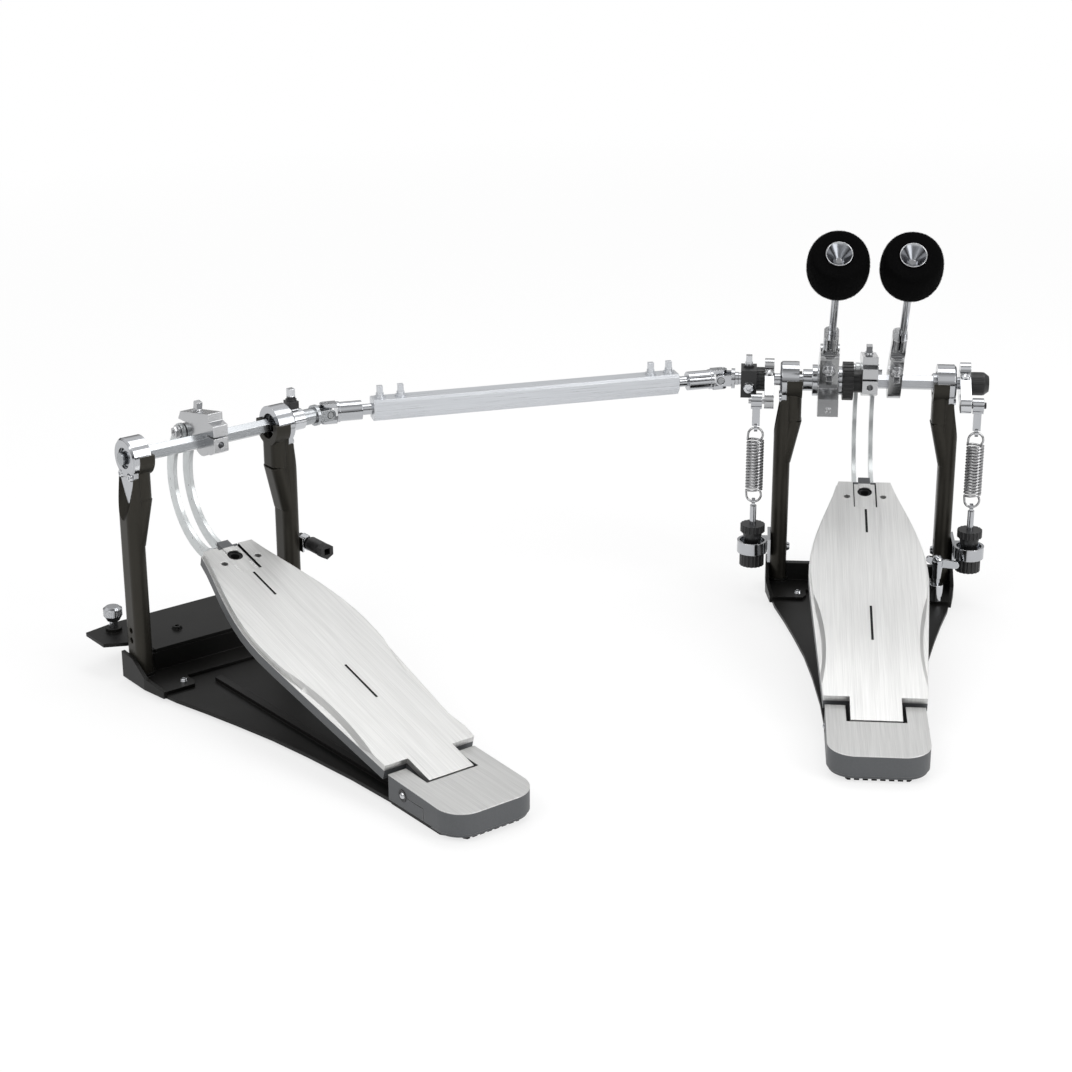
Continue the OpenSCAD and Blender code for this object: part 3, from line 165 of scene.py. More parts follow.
class Finish(NodeTree):
    """A material under construction, with its pattern read in a place of the object."""

    def __init__(self, name, place=MAIN, constants=()):
        self.material = bpy.data.materials.new(name)
        self.material.use_nodes = True
        super().__init__(self.material.node_tree)
        self.shader = self.tree.nodes["Principled BSDF"]
        for socket, value in dict(constants).items():
            self.shader.inputs[socket].default_value = value
        point, tilt, turn = place
        spot = self.node("ShaderNodeTexCoord")[3]
        self.spot = self.node(
            "ShaderNodeMapping",
            {"vector_type": "TEXTURE"},
            {"Vector": spot, "Location": point, "Rotation": (tilt, 0, turn)},
        )[0]

    def axes(self):
        return self.node("ShaderNodeSeparateXYZ", inputs={0: self.spot})

    def stretched(self, x, y, z):
        """The place's coordinates, each multiplied by its own number."""
        return self.vector_maths("MULTIPLY", self.spot, (x, y, z))[0]

    def grain(self, scale, detail=2.0, vector=None):
        inputs = {"Vector": vector or self.spot, "Scale": scale, "Detail": detail}
        return self.node("ShaderNodeTexNoise", inputs=inputs)[0]

    def edges(self, radius):
        """A normal that rounds the edges, and a mask that is 1 on them."""
        soft = self.node("ShaderNodeBevel", {"samples": 4}, {"Radius": radius})[0]
        flat = self.node("ShaderNodeNewGeometry")[1]
        facing = self.vector_maths("DOT_PRODUCT", soft, flat)[1]
        return soft, self.ramp(facing, (0.86, 1.0), (0.985, 0.0))

    def bump(self, height, strength, distance, normal=None):
        inputs = {"Height": height, "Strength": strength, "Distance": distance}
        if normal:
            inputs["Normal"] = normal
        return self.node("ShaderNodeBump", inputs=inputs)[0]

    def feed(self, **wires):
        """Connects the shader's varying inputs, and returns the material."""
        names = {
            "colour": "Base Color",
            "roughness": "Roughness",
            "metallic": "Metallic",
            "normal": "Normal",
        }
        for key, wire in wires.items():
            self.tree.links.new(wire.socket, self.shader.inputs[names[key]])
        return self.material


def wear(material, *names):
    """Gives these pieces of the model a material."""
    for name in names:
        mesh = nodes[name].data
        mesh.materials.clear()
        mesh.materials.append(material)


# %% [markdown]
# ## Brushed aluminium
#
# The footboards and heel blocks are machined from aluminium. Their tops are brushed lengthwise, and
# their sides are painted grey. Long, thin noise gives the brush lines: it is squeezed hard across the
# board and hardly at all along it. A height mask tells the bright top from the painted side. A second
# mask paints black shade into what lies deep: engraved lines, the walls of the toe slot, its hole and
# the gaps round the link foot.
#
# The two pedals are the same metal, but their tones here differ: under these lamps one tone for both
# left the right board darker than in the photo and the left one lighter. The tones were set by
# comparing renders with the photo. In other light, give both pedals the same pair.

# %% Sizes of the brushed pieces
BRUSHED_TONES = {"main": (0.60, 0.77), "second": (0.49, 0.64)}
BOARD_TOP = 5.9 * MM
HEEL_CREST = 294 * MM
HEEL_TOP = 24.6 * MM
HEEL_SLOPE = 0.0419
LINE_HALF_WIDTH = 0.95 * MM
LINE_FLOOR = 9.9 * MM
ENGRAVED_LINES = ((90.1 * MM, 132.5 * MM), (229.5 * MM, 262 * MM))
SLOT_HALF_WIDTH = 9.8 * MM
SLOT_START = 264.7 * MM
SLOT_TOP = 10.3 * MM
FOOT_TOP = 7.6 * MM
FOOT_END = 300 * MM
FOOT_START = 267 * MM
FOOT_HALF_WIDTH = 8.5 * MM
HOLE_CENTRE = 289 * MM
HOLE_RADIUS = 6.15 * MM
HOLE_RIM = 8.6 * MM


# %% Footboard and heel
def brushed(name, place, tones, top_edge, painted_shade=None):
    """Brushed where top_edge is 1 and grey elsewhere, with painted black shade where the last mask is 1.

    Both are functions of the three axes.
    """
    dark, light = tones
    finish = Finish(name, place)
    x, y, z = finish.axes()
    is_top = top_edge(x, y, z)
    fine = finish.grain(1.0, 3.0, finish.stretched(2600, 26, 260))
    broad = finish.grain(1.0, 2.0, finish.stretched(420, 5, 60))
    lines = fine * 0.65 + broad * 0.35
    contrast = finish.ramp(lines, (0.3, 0.0), (0.7, 1.0))
    bright = finish.mix(contrast, (dark, dark, dark - 0.005), (light, light, light - 0.01))
    paint = finish.mix(finish.grain(900), (0.095, 0.098, 0.103), (0.115, 0.12, 0.125))
    colour = finish.mix(is_top, paint, bright)
    soft, edge = finish.edges(0.0007)
    colour = finish.mix(edge * (0.2 + 0.35 * is_top), colour, (0.78, 0.78, 0.78))
    # Painted shade: the recesses that the mask marks are coloured near black.
    if painted_shade:
        colour = finish.mix(painted_shade(x, y, z), colour, (0.02, 0.02, 0.021))
    rough = 0.27 + 0.2 * lines + (1 - is_top) * 0.12
    height = lines * is_top + finish.grain(1800) * (1 - is_top)
    return finish.feed(
        colour=colour,
        roughness=rough,
        metallic=0.55 + 0.3 * is_top,
        normal=finish.bump(height, 0.28, 0.00008, soft),
    )


def board_top(x, y, z):
    return z > BOARD_TOP


def heel_top(x, y, z):
    return z > (y + HEEL_CREST) * HEEL_SLOPE + HEEL_TOP


def foot_top(x, y, z):
    return (z > FOOT_TOP) * (y < FOOT_END)


def board_cut_shade(x, y, z):
    """Painted shade: black in the two engraved lines and on the walls of the toe slot."""
    line = (abs(x) < LINE_HALF_WIDTH) * (z > LINE_FLOOR)
    ball, toe = (line * (y > start) * (y < end) for start, end in ENGRAVED_LINES)
    slot = (abs(x) < SLOT_HALF_WIDTH) * (y > SLOT_START) * (z < SLOT_TOP)
    return ball | toe | slot


def foot_gap_shade(x, y, z):
    """Painted shade: black in the hole in the link foot and in the gap between the foot and its slot."""
    along = y - HOLE_CENTRE
    hole = (x * x + along * along < HOLE_RADIUS**2) * (z < HOLE_RIM)
    return hole | (abs(x) > FOOT_HALF_WIDTH) | (y < FOOT_START)


for pedal, (ground, board) in PEDALS.items():
    tones = BRUSHED_TONES[pedal]
    board_metal = brushed(f"brushed_board_{pedal}", board, tones, board_top, board_cut_shade)
    heel_metal = brushed(f"brushed_heel_{pedal}", ground, tones, heel_top)
    foot_metal = brushed(f"brushed_foot_{pedal}", board, tones, foot_top, foot_gap_shade)
    wear(board_metal, f"{pedal}_footboard")
    wear(heel_metal, f"{pedal}_heel_block")
    wear(foot_metal, f"{pedal}_link_foot")
print("brushed pieces:", 3 * len(PEDALS))

# %% [markdown]
# ## Powder paint
#
# Posts, base plates and toe frames are steel and cast metal under a dark satin powder coat. Powder melts
# into a faint orange peel, so a fine noise feeds the bump, and the coat rubs thin where an edge is
# touched. The posts have a warmer, slightly metallic tone than the base.


# %% Painted pieces
def powder(name, colour, lighter, roughness, metallic=0.0, rubbed=0.25):
    finish = Finish(name, MAIN, {"Metallic": metallic, "Specular IOR Level": 0.18})
    peel = finish.grain(1400, 3.0)
    cloud = finish.grain(22, 4.0)
    soft, edge = finish.edges(0.0008)
    colour = finish.mix(cloud * 0.6 + peel * 0.3, colour, lighter)
    colour = finish.mix(edge * cloud * rubbed, colour, [2.4 * c + 0.05 for c in lighter])
    return finish.feed(
        colour=colour,
        roughness=roughness - 0.07 + 0.16 * cloud - 0.08 * edge,
        normal=finish.bump(peel, 0.22, 0.00012, soft),
    )


base_paint = powder("base_paint", (0.004, 0.0039, 0.0036), (0.010, 0.0096, 0.009), 0.40)
post_paint = powder("post_paint", (0.026, 0.024, 0.020), (0.044, 0.041, 0.034), 0.34, 0.5, 0.4)
for pedal in PEDALS:
    wear(base_paint, f"{pedal}_base_plate", f"{pedal}_toe_frame")
    wear(post_paint, f"{pedal}_left_post", f"{pedal}_right_post")
wear(base_paint, "second_front_plate")

# %% [markdown]
# ## Chrome, steel and drawn aluminium
#
# Chrome mirrors what stands round it, so its colour is nearly flat and the interest comes from faint
# smears in the gloss and from rounded edges that catch the light. The axle is ground steel with marks
# that run round it. The link bars and the telescopic channel are pale aluminium, drawn lengthwise.

# %% Tones of the bright metals
WORN_EDGE = (0.9, 0.9, 0.91)
# Painted shade: both axles are the same steel, and the second pedal's darker colour stands in for shade.
AXLE_COLOURS_WITH_PAINTED_SHADE = {"main": (0.40, 0.41, 0.43), "second": (0.37, 0.385, 0.40)}
AXLE_LINES = (50, 2400, 2400)
BAR_COLOUR = (0.62, 0.645, 0.65)
BAR_LINES = (2400, 160, 160)
CHANNEL_LINES = (30, 2200, 2200)
CAST_SPECKLE = (900, 900, 900)


# %% Bright metals
def chrome(name, colour, roughness):
    finish = Finish(name, MAIN, {"Metallic": 1.0})
    smear = finish.grain(60, 5.0)
    pits = finish.grain(900, 2.0)
    soft, edge = finish.edges(0.0006)
    tone = finish.mix(smear, [0.88 * c for c in colour], colour)
    return finish.feed(
        colour=finish.mix(edge * 0.5, tone, WORN_EDGE),
        roughness=roughness + 0.10 * smear + 0.06 * pits,
        normal=finish.bump(pits, 0.05, 0.00005, soft),
    )


def drawn(name, colour, roughness, metallic, place, stretch, strength=0.2):
    """Metal with fine lines; stretch multiplies each axis, so the lines run along the smallest one."""
    finish = Finish(name, place, {"Metallic": metallic})
    lines = finish.grain(1.0, 3.0, finish.stretched(*stretch))
    soft, edge = finish.edges(0.0006)
    tone = finish.mix(lines, [0.78 * c for c in colour], [min(1, 1.12 * c) for c in colour])
    return finish.feed(
        colour=finish.mix(edge * 0.4, tone, (0.9, 0.9, 0.9)),
        roughness=roughness - 0.08 + 0.16 * lines,
        normal=finish.bump(lines, strength, 0.00006, soft),
    )


bright = chrome("chrome", (0.48, 0.49, 0.51), 0.05)
for pedal in PEDALS:
    wear(bright, f"{pedal}_housings", f"{pedal}_side_rod")
for side in ("left", "right"):
    for piece in ("spring_anchor", "spring_hook", "spike_bolt", "beater_rod"):
        wear(bright, f"{side}_{piece}")
wear(bright, "left_drive_sleeve", "left_drive_yoke", "hoop_wing_bolt")

casting = chrome("plated_casting", (0.47, 0.475, 0.485), 0.10)
wear(casting, "main_cam", "second_cam", "left_spring_arm")
wear(casting, "left_beater_holder", "right_beater_holder")

for pedal, (ground, _) in PEDALS.items():
    axle = drawn(f"axle_steel_{pedal}", AXLE_COLOURS_WITH_PAINTED_SHADE[pedal], 0.26, 1.0, ground, AXLE_LINES)
    wear(axle, f"{pedal}_shaft", f"{pedal}_bearings")
    link_bar = drawn(f"link_bar_{pedal}", BAR_COLOUR, 0.3, 0.65, ground, BAR_LINES)
    wear(link_bar, f"{pedal}_link_bars")
channel = drawn("channel_aluminium", (0.62, 0.64, 0.67), 0.3, 0.6, LINKAGE, CHANNEL_LINES, 0.3)
wear(channel, "linkage_channel")
joint_steel = drawn("joint_steel", (0.36, 0.37, 0.38), 0.34, 1.0, MAIN, CAST_SPECKLE)
wear(joint_steel, "main_joint_cross", "second_joint_cross", "hoop_clamp_lever")

# %% [markdown]
# ## Bright pieces with a black part
#
# A few pieces are plated metal with a black part: the rings round the hinge pins, the cap on the end of
# the axle and the foot of a key bolt. The model keeps each as one piece, so a mask of the three axes
# turns chrome into black nylon there.

# %% Where the black parts end
PIN_RADIUS = 2.85 * MM
PIN_RING_RADIUS = 6 * MM
CAP_START = 83.6 * MM
BLOCK_TOP = SHAFT_HEIGHT + 12.2 * MM
BLOCK_FRONT = -13.2 * MM
BOLT_FOOT = (SHAFT_HEIGHT + 9 * MM, SHAFT_HEIGHT + 18.7 * MM)


# %% Two tones on one piece
def two_tone(name, place, is_black):
    finish = Finish(name, place)
    black = is_black(*finish.axes())
    smear = finish.grain(60, 5.0)
    soft, edge = finish.edges(0.0006)
    plated = finish.mix(edge * 0.5, (0.55, 0.56, 0.58), WORN_EDGE)
    nylon = finish.mix(edge * 0.15, (0.010, 0.010, 0.011), (0.16, 0.16, 0.16))
    return finish.feed(
        colour=finish.mix(black, plated, nylon),
        roughness=0.06 + 0.10 * smear + 0.26 * black,
        metallic=1 - black,
        normal=finish.bump(smear, 0.05, 0.00005, soft),
    )


def hinge_ring(x, y, z):
    along, up = y - HINGE.y, z - HINGE.z
    from_pin = along * along + up * up
    return (from_pin > PIN_RADIUS**2) * (from_pin < PIN_RING_RADIUS**2)


def axle_cap(x, y, z):
    return x > CAP_START


def left_block(x, y, z):
    return (z < BLOCK_TOP) * (y > BLOCK_FRONT)


def bolt_foot(x, y, z):
    return (z > BOLT_FOOT[0]) * (z < BOLT_FOOT[1])


for pedal, (ground, _) in PEDALS.items():
    wear(two_tone(f"hinge_pin_{pedal}", ground, hinge_ring), f"{pedal}_fasteners")
wear(two_tone("arm_and_cap", MAIN, axle_cap), "right_spring_arm")
wear(two_tone("left_clamp", MAIN, left_block), "left_drive_clamp")
wear(two_tone("second_clamp", SECOND, bolt_foot), "second_drive_clamp")

# %% [markdown]
# ## Rubber, black nylon and dark blocks
#
# The pads under the frame are matt rubber that has picked up a little dust. The knurled nuts, the collar,
# the clamp blocks and the tuning key are black and slightly glossier.


# %% Black pieces
def black(name, colour, roughness, speckle, scale):
    finish = Finish(name)
    dust = finish.grain(scale, 4.0)
    soft, edge = finish.edges(0.0005)
    tone = finish.mix(dust * speckle, colour, (0.16, 0.155, 0.15))
    return finish.feed(
        colour=finish.mix(edge * 0.12, tone, (0.16, 0.16, 0.16)),
        roughness=roughness - 0.1 + 0.2 * dust,
        normal=finish.bump(finish.grain(1600), 0.25, 0.0001, soft),
    )


rubber = black("pad_rubber", (0.012, 0.012, 0.012), 0.82, 0.10, 300)
nylon = black("black_nylon", (0.007, 0.007, 0.0075), 0.4, 0.03, 120)
wear(rubber, "main_rubber_pads", "second_rubber_pads")
wear(nylon, "left_spring_nuts", "right_spring_nuts", "shaft_collar", "drum_key")

# %% [markdown]
# ## Felt beaters
#
# A beater is a block of pressed black felt on a steel rod, with a chrome funnel let into its top. Felt
# has no crisp outline: the block is turned like pottery from its side profile, its surface is pushed in
# and out a little by noise, and a layer of short fibres stands on it.

# %% Felt profile
BEATER_LEAN = math.radians(40)
HEAD_TILT = math.radians(8)
BEATER_LENGTH = 177 * MM
FELT_RADIUS = 25.0
FELT_HEIGHT = 41.4
CUP_RADIUS = 10.5
CUP_DEPTH = 13.0
STEM_RADIUS = 4.3
FUZZ = 0.8  # room for the fibres, so that they stay within the model's outline
RIM_WIDTH = 0.6
LUMP_SCALE = 420
LUMP_HEIGHT = 0.16 * MM
BEATERS = {"left": -32.6 * MM, "right": 23.6 * MM}


def felt_profile(steps=26):
    """Radius and height in mm from the funnel's rim, down the outside and up inside."""
    outside = []
    radius, half, middle = FELT_RADIUS - FUZZ, FELT_HEIGHT / 2 - FUZZ, -FELT_HEIGHT / 2
    for i in range(steps + 1):
        angle = math.radians(90 - 180 * i / steps)
        c, s = max(0.0, math.cos(angle)), math.sin(angle)
        if s > 0:
            outside.append((radius * (0.68 + 0.32 * c**0.5), middle + half * s))
        else:
            outside.append((radius * (0.5 + 0.5 * c**0.62), middle - half * abs(s) ** 0.92))
    foot = middle - half
    inside = [(STEM_RADIUS, foot), (STEM_RADIUS, -CUP_DEPTH), (CUP_RADIUS, -FUZZ - 0.2)]
    return [(CUP_RADIUS + 1.5, -FUZZ)] + outside + [(radius * 0.25, foot)] + inside


# %% [markdown]
# ### Turning the felt
#
# The profile is swept round the axis by writing the rings of vertices and the faces between them. That
# gives even quads, which take the noise better than a boolean result would.


# %% Turn and roughen the felt
def head_place(x):
    """The frame of a beater's head: origin at the top of the felt, Z along its axis."""
    lean = Matrix.Translation((x, 0, SHAFT_HEIGHT)) @ Matrix.Rotation(BEATER_LEAN, 4, "X")
    return lean @ Matrix.Translation((0, 0, BEATER_LENGTH)) @ Matrix.Rotation(HEAD_TILT, 4, "X")


def turned(name, profile, place, segments, material):
    """A closed ring-shaped solid turned from a profile in mm. Its faces outside the cup are marked."""
    count = len(profile)
    points, faces = [], []
    for k in range(segments):
        angle = 2 * math.pi * k / segments
        points += [Vector((r * math.cos(angle), r * math.sin(angle), z)) * MM for r, z in profile]
        for i in range(count):
            a, b = k * count + i, k * count + (i + 1) % count
            shift = count if k < segments - 1 else -k * count
            faces.append((a, b, b + shift, a + shift))
    mesh = bpy.data.meshes.new(name)
    mesh.from_pydata(points, [], faces)
    mesh.update()
    for vertex, normal in zip(mesh.vertices, [v.normal.copy() for v in mesh.vertices]):
        radius = math.hypot(vertex.co.x, vertex.co.y)
        if radius > (CUP_RADIUS + 1) * MM:
            push = noise.fractal(vertex.co * LUMP_SCALE, 0.8, 2.0, 4)
            vertex.co += normal * push * LUMP_HEIGHT
    outer = mesh.attributes.new("outer", "BOOLEAN", "FACE")
    for face in mesh.polygons:
        corners = [mesh.vertices[v].co for v in face.vertices]
        nearest = min(math.hypot(corner.x, corner.y) for corner in corners)
        outer.data[face.index].value = nearest > (CUP_RADIUS + RIM_WIDTH) * MM
    mesh.transform(place)
    mesh.shade_smooth()
    mesh.materials.append(material)
    piece = bpy.data.objects.new(name, mesh)
    scene.collection.objects.link(piece)
    return piece


felt = Finish("black_felt", MAIN, {"Specular IOR Level": 0.04})
matted = felt.grain(700, 6.0)
strands = felt.grain(1.0, 4.0, felt.stretched(1800, 1500, 5200))
mottling = matted * 0.6 + strands * 0.4
felt_material = felt.feed(
    colour=felt.mix(mottling, (0.0006, 0.0006, 0.0007), (0.0034, 0.0034, 0.0035)),
    roughness=0.86 + 0.12 * matted,
    normal=felt.bump(matted + strands, 0.75, 0.0004),
)

felt_heads = {
    side: turned(f"{side}_felt", felt_profile(), head_place(x), 120, felt_material)
    for side, x in BEATERS.items()
}
print("felt faces:", {side: len(head.data.polygons) for side, head in felt_heads.items()})

# %% [markdown]
# ### Fibres
#
# The fibres repeat, so Geometry Nodes lay them: points are scattered on the felt with a fixed seed, a
# thin cone stands on each along the surface's normal, and the instances are made real at the end.


# %% A tree builder for Geometry Nodes
class GeometryTree:
    """A Geometry Nodes tree with named inputs."""

    def __init__(self, name, **sizes):
        self.group = bpy.data.node_groups.new(name, "GeometryNodeTree")
        interface = self.group.interface
        interface.new_socket("Geometry", in_out="INPUT", socket_type="NodeSocketGeometry")
        interface.new_socket("Geometry", in_out="OUTPUT", socket_type="NodeSocketGeometry")
        self.keys = {}
        for label, kind in sizes.items():
            made = interface.new_socket(label, in_out="INPUT", socket_type=f"NodeSocket{kind}")
            self.keys[label] = made.identifier
        self.start = self.group.nodes.new("NodeGroupInput")
        self.end = self.group.nodes.new("NodeGroupOutput")

    def node(self, kind, settings=(), inputs=()):
        made = self.group.nodes.new(kind)
        for key, value in dict(settings).items():
            setattr(made, key, value)
        for key, value in dict(inputs).items():
            if isinstance(value, bpy.types.NodeSocket):
                self.group.links.new(value, made.inputs[key])
            else:
                made.inputs[key].default_value = value
        return made.outputs

    def given(self, label):
        return self.start.outputs[label]

    def finish(self, geometry):
        """Makes instances real, sets the material and ends the tree."""
        real = self.node("GeometryNodeRealizeInstances", inputs={0: geometry})[0]
        inputs = {0: real, "Material": self.given("Material")}
        painted = self.node("GeometryNodeSetMaterial", inputs=inputs)[0]
        self.group.links.new(painted, self.end.inputs[0])
        return self

    def run(self, name, source, **values):
        """The tree's result on a source object, as a plain mesh object of its own."""
        modifier = source.modifiers.new("build", "NODES")
        modifier.node_group = self.group
        for label, value in values.items():
            modifier[self.keys[label]] = value
        bpy.context.view_layer.update()
        view = bpy.context.evaluated_depsgraph_get()
        mesh = bpy.data.meshes.new_from_object(source.evaluated_get(view), depsgraph=view)
        source.modifiers.remove(modifier)
        mesh.name = name
        piece = bpy.data.objects.new(name, mesh)
        scene.collection.objects.link(piece)
        return piece


# %% Scatter the fibres
FIBRES_PER_SQUARE_METRE = 1.6e6
FIBRE_LENGTH = 0.0007
FIBRE_ROOT = 0.00005
FIBRE_TIP = 0.00001
fuzz_inputs = {"Density": "Float", "Length": "Float", "Seed": "Int", "Material": "Material"}
fuzz_tree = GeometryTree("felt_fuzz", **fuzz_inputs)
outer_faces = fuzz_tree.node(
    "GeometryNodeInputNamedAttribute", {"data_type": "BOOLEAN"}, {"Name": "outer"}
)
scattered = fuzz_tree.node(
    "GeometryNodeDistributePointsOnFaces",
    inputs={
        "Mesh": fuzz_tree.given("Geometry"),
        "Selection": outer_faces[0],
        "Density": fuzz_tree.given("Density"),
        "Seed": fuzz_tree.given("Seed"),
    },
)
fibre = fuzz_tree.node(
    "GeometryNodeMeshCone",
    {"fill_type": "NONE"},
    {
        "Vertices": 3,
        "Radius Top": FIBRE_TIP,
        "Radius Bottom": FIBRE_ROOT,
        "Depth": fuzz_tree.given("Length"),
    },
)
lean = fuzz_tree.node(
    "FunctionNodeRandomValue",
    {"data_type": "FLOAT_VECTOR"},
    {0: (-0.9, -0.9, 0.0), 1: (0.9, 0.9, 6.2), "Seed": fuzz_tree.given("Seed")},
)
turned_lean = fuzz_tree.node(
    "FunctionNodeRotateRotation",
    {"rotation_space": "LOCAL"},
    {"Rotation": scattered["Rotation"], "Rotate By": lean[0]},
)
planted = fuzz_tree.node(
    "GeometryNodeInstanceOnPoints",
    inputs={"Points": scattered["Points"], "Instance": fibre["Mesh"], "Rotation": turned_lean[0]},
)
fuzz_tree.finish(planted[0])

for number, (side, head) in enumerate(felt_heads.items()):
    fuzz = fuzz_tree.run(
        f"{side}_felt_fibres",
        head,
        Density=FIBRES_PER_SQUARE_METRE,
        Length=FIBRE_LENGTH,
        Seed=number + 3,
        Material=felt_material,
    )
    body = f"{side}_beater"
    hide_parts(f"{side}_beater_head")
    for piece in (head, fuzz):
        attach(piece, body)
    print(side, "fibres:", len(fuzz.data.polygons) // 3)

# %% [markdown]
# ## Springs
#
# Each spring is wound from round wire, with a loop at either end. The upper loop hangs in the hook on
# the spring arm, and the lower one in the eye rod on the frame. When the pedal is pressed, the hook
# rises and the coil opens. The coil is therefore made as two wires with a wide pitch that lie in each
# other's gaps: one rides with the hook and one with the frame. At rest they read as one coil. As the
# hook rises, the ends open like a stretched spring, but the wires cross in the middle, where they still
# overlap.

# %% Path of one wire
COIL_FOOT = 96.3
COIL_LENGTH = 43.5
COIL_RADIUS = 6.45
WIRE_RADIUS = 0.95
LOOP_RADIUS = 6.05
LOOP_DROP = 4.6
LOOP_START = 50
LOOP_SWEEP = 230
LOOP_STEPS = 30
TURNS = 8 + 164 / 360  # the odd part sets the two wires half a pitch apart
START_ANGLE = 188
SPRINGS = {"left": -91.3 * MM, "right": 89 * MM}
SPRING_Y = -25 * MM


def wire_path(steps_per_turn=28):
    """Points in mm from the lower loop's open end up to the coil's top."""
    path = []
    for i in range(LOOP_STEPS + 1):
        angle = math.radians(LOOP_START - LOOP_SWEEP * i / LOOP_STEPS)
        x, rise = LOOP_RADIUS * math.cos(angle), LOOP_RADIUS * math.sin(angle)
        path.append((x, 0.0, -LOOP_DROP + rise))
    for share in (0.3, 0.6, 0.85):
        x = -LOOP_RADIUS - (COIL_RADIUS - LOOP_RADIUS) * share
        path.append((x, -0.5 * share, -LOOP_DROP + share * (LOOP_DROP - 0.2)))
    steps = int(TURNS * steps_per_turn)
    for i in range(steps + 1):
        angle = math.radians(START_ANGLE + 360 * TURNS * i / steps)
        x, y = COIL_RADIUS * math.cos(angle), COIL_RADIUS * math.sin(angle)
        path.append((x, y, COIL_LENGTH * i / steps))
    return path


def flipped(path):
    """The same wire, turned over end for end."""
    return [(x, -y, COIL_LENGTH - z) for x, y, z in path]


# %% [markdown]
# ### From a path to a wire
#
# A path becomes a wire by sweeping a circle along it. A small tree does that, so that the wire's
# thickness and the number of sides stay inputs.

# %% Sweep the wire
wire_tree = GeometryTree("wire", Radius="Float", Sides="Int", Material="Material")
section = wire_tree.node(
    "GeometryNodeCurvePrimitiveCircle",
    inputs={"Resolution": wire_tree.given("Sides"), "Radius": wire_tree.given("Radius")},
)
swept = wire_tree.node(
    "GeometryNodeCurveToMesh",
    inputs={"Curve": wire_tree.given("Geometry"), "Profile Curve": section[0], "Fill Caps": True},
)
smooth = wire_tree.node("GeometryNodeSetShadeSmooth", inputs={0: swept[0]})
wire_tree.finish(smooth[0])
spring = Finish("spring_steel", MAIN, {"Metallic": 1.0})
oil = spring.grain(400, 3.0)
spring_steel = spring.feed(
    colour=spring.mix(oil, (0.32, 0.32, 0.325), (0.50, 0.50, 0.51)),
    roughness=0.14 + 0.12 * oil,
    normal=spring.bump(oil, 0.1, 0.00004),
)


def wire_piece(name, path, x, material):
    curve = bpy.data.curves.new(name + "_path", "CURVE")
    curve.dimensions = "3D"
    spline = curve.splines.new("POLY")
    spline.points.add(len(path) - 1)
    for point, (px, py, pz) in zip(spline.points, path):
        point.co = (x + px * MM, SPRING_Y + py * MM, (COIL_FOOT + pz) * MM, 1)
    guide = bpy.data.objects.new(name + "_path", curve)
    scene.collection.objects.link(guide)
    piece = wire_tree.run(name, guide, Radius=WIRE_RADIUS * MM, Sides=10, Material=material)
    bpy.data.objects.remove(guide)
    return piece


for side, x in SPRINGS.items():
    lower = wire_piece(f"{side}_spring_lower", wire_path(), x, spring_steel)
    upper = wire_piece(f"{side}_spring_upper", flipped(wire_path()), x, spring_steel)
    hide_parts(f"{side}_spring")
    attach(lower, "main_frame")
    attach(upper, f"{side}_hook")
    print(side, "spring:", len(lower.data.polygons), "faces a wire")

# %% [markdown]
# ## Knurled grips
#
# Thumb bolts are pressed with straight knurls, so that fingers can turn them. The ridges repeat round an
# axis, so one tree lays them: a bar of metal on each point of a circle, turned to face outwards.

# %% Ridges round an axis
knurl_tree = GeometryTree(
    "knurl",
    Radius="Float",
    Length="Float",
    Count="Int",
    Width="Float",
    Place="Vector",
    Turn="Rotation",
    Material="Material",
)
ring = knurl_tree.node(
    "GeometryNodeMeshCircle",
    inputs={"Vertices": knurl_tree.given("Count"), "Radius": knurl_tree.given("Radius")},
)
bar_size = knurl_tree.node(
    "ShaderNodeCombineXYZ",
    inputs=dict(enumerate(knurl_tree.given(label) for label in ("Width", "Width", "Length"))),
)
bar = knurl_tree.node("GeometryNodeMeshCube", inputs={"Size": bar_size[0]})
outward = knurl_tree.node("GeometryNodeInputPosition")
facing = knurl_tree.node("FunctionNodeAlignRotationToVector", {"axis": "X"}, {"Vector": outward[0]})
bars = knurl_tree.node(
    "GeometryNodeInstanceOnPoints",
    inputs={"Points": ring[0], "Instance": bar["Mesh"], "Rotation": facing[0]},
)
placed = knurl_tree.node(
    "GeometryNodeTransform",
    inputs={
        0: bars[0],
        "Translation": knurl_tree.given("Place"),
        "Rotation": knurl_tree.given("Turn"),
    },
)
knurl_tree.finish(placed["Geometry"])
seed_mesh = bpy.data.objects.new("knurl_seed", bpy.data.meshes.new("knurl_seed"))
scene.collection.objects.link(seed_mesh)


def knurl(name, body, place, along_x, radius, length, count, width, material):
    """Ridges on a grip. The radius, length and width are in mm, the place in metres."""
    turn = (0, math.pi / 2, 0) if along_x else (0, 0, 0)
    piece = knurl_tree.run(
        name,
        seed_mesh,
        Radius=radius * MM,
        Length=length * MM,
        Count=count,
        Width=width * MM,
        Place=Vector(place),
        Turn=turn,
        Material=material,
    )
    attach(piece, body)
    return piece


for side, sign in (("left", -1), ("right", 1)):
    spot = on_second((66 * MM * sign, 48 * MM, 42.9 * MM))
    knurl(f"{side}_spike_knurl", f"{side}_spike", spot, False, 7.25, 5.6, 34, 0.55, bright)
cap_spot = (89.6 * MM, 0, SHAFT_HEIGHT)
knurl("axle_cap_knurl", "main_rocker", cap_spot, True, 9.35, 8.5, 40, 0.5, nylon)
bpy.data.objects.remove(seed_mesh)

# %% [markdown]
# ## Camera
#
# A first camera was matched to the photo, and it needed a large lens shift. This one was then fitted to
# where the first one shows the pedals, with no shift allowed, so that other views stay centred. It
# stands a little closer and looks down more steeply, and points differ by 4 pixels (root mean square).

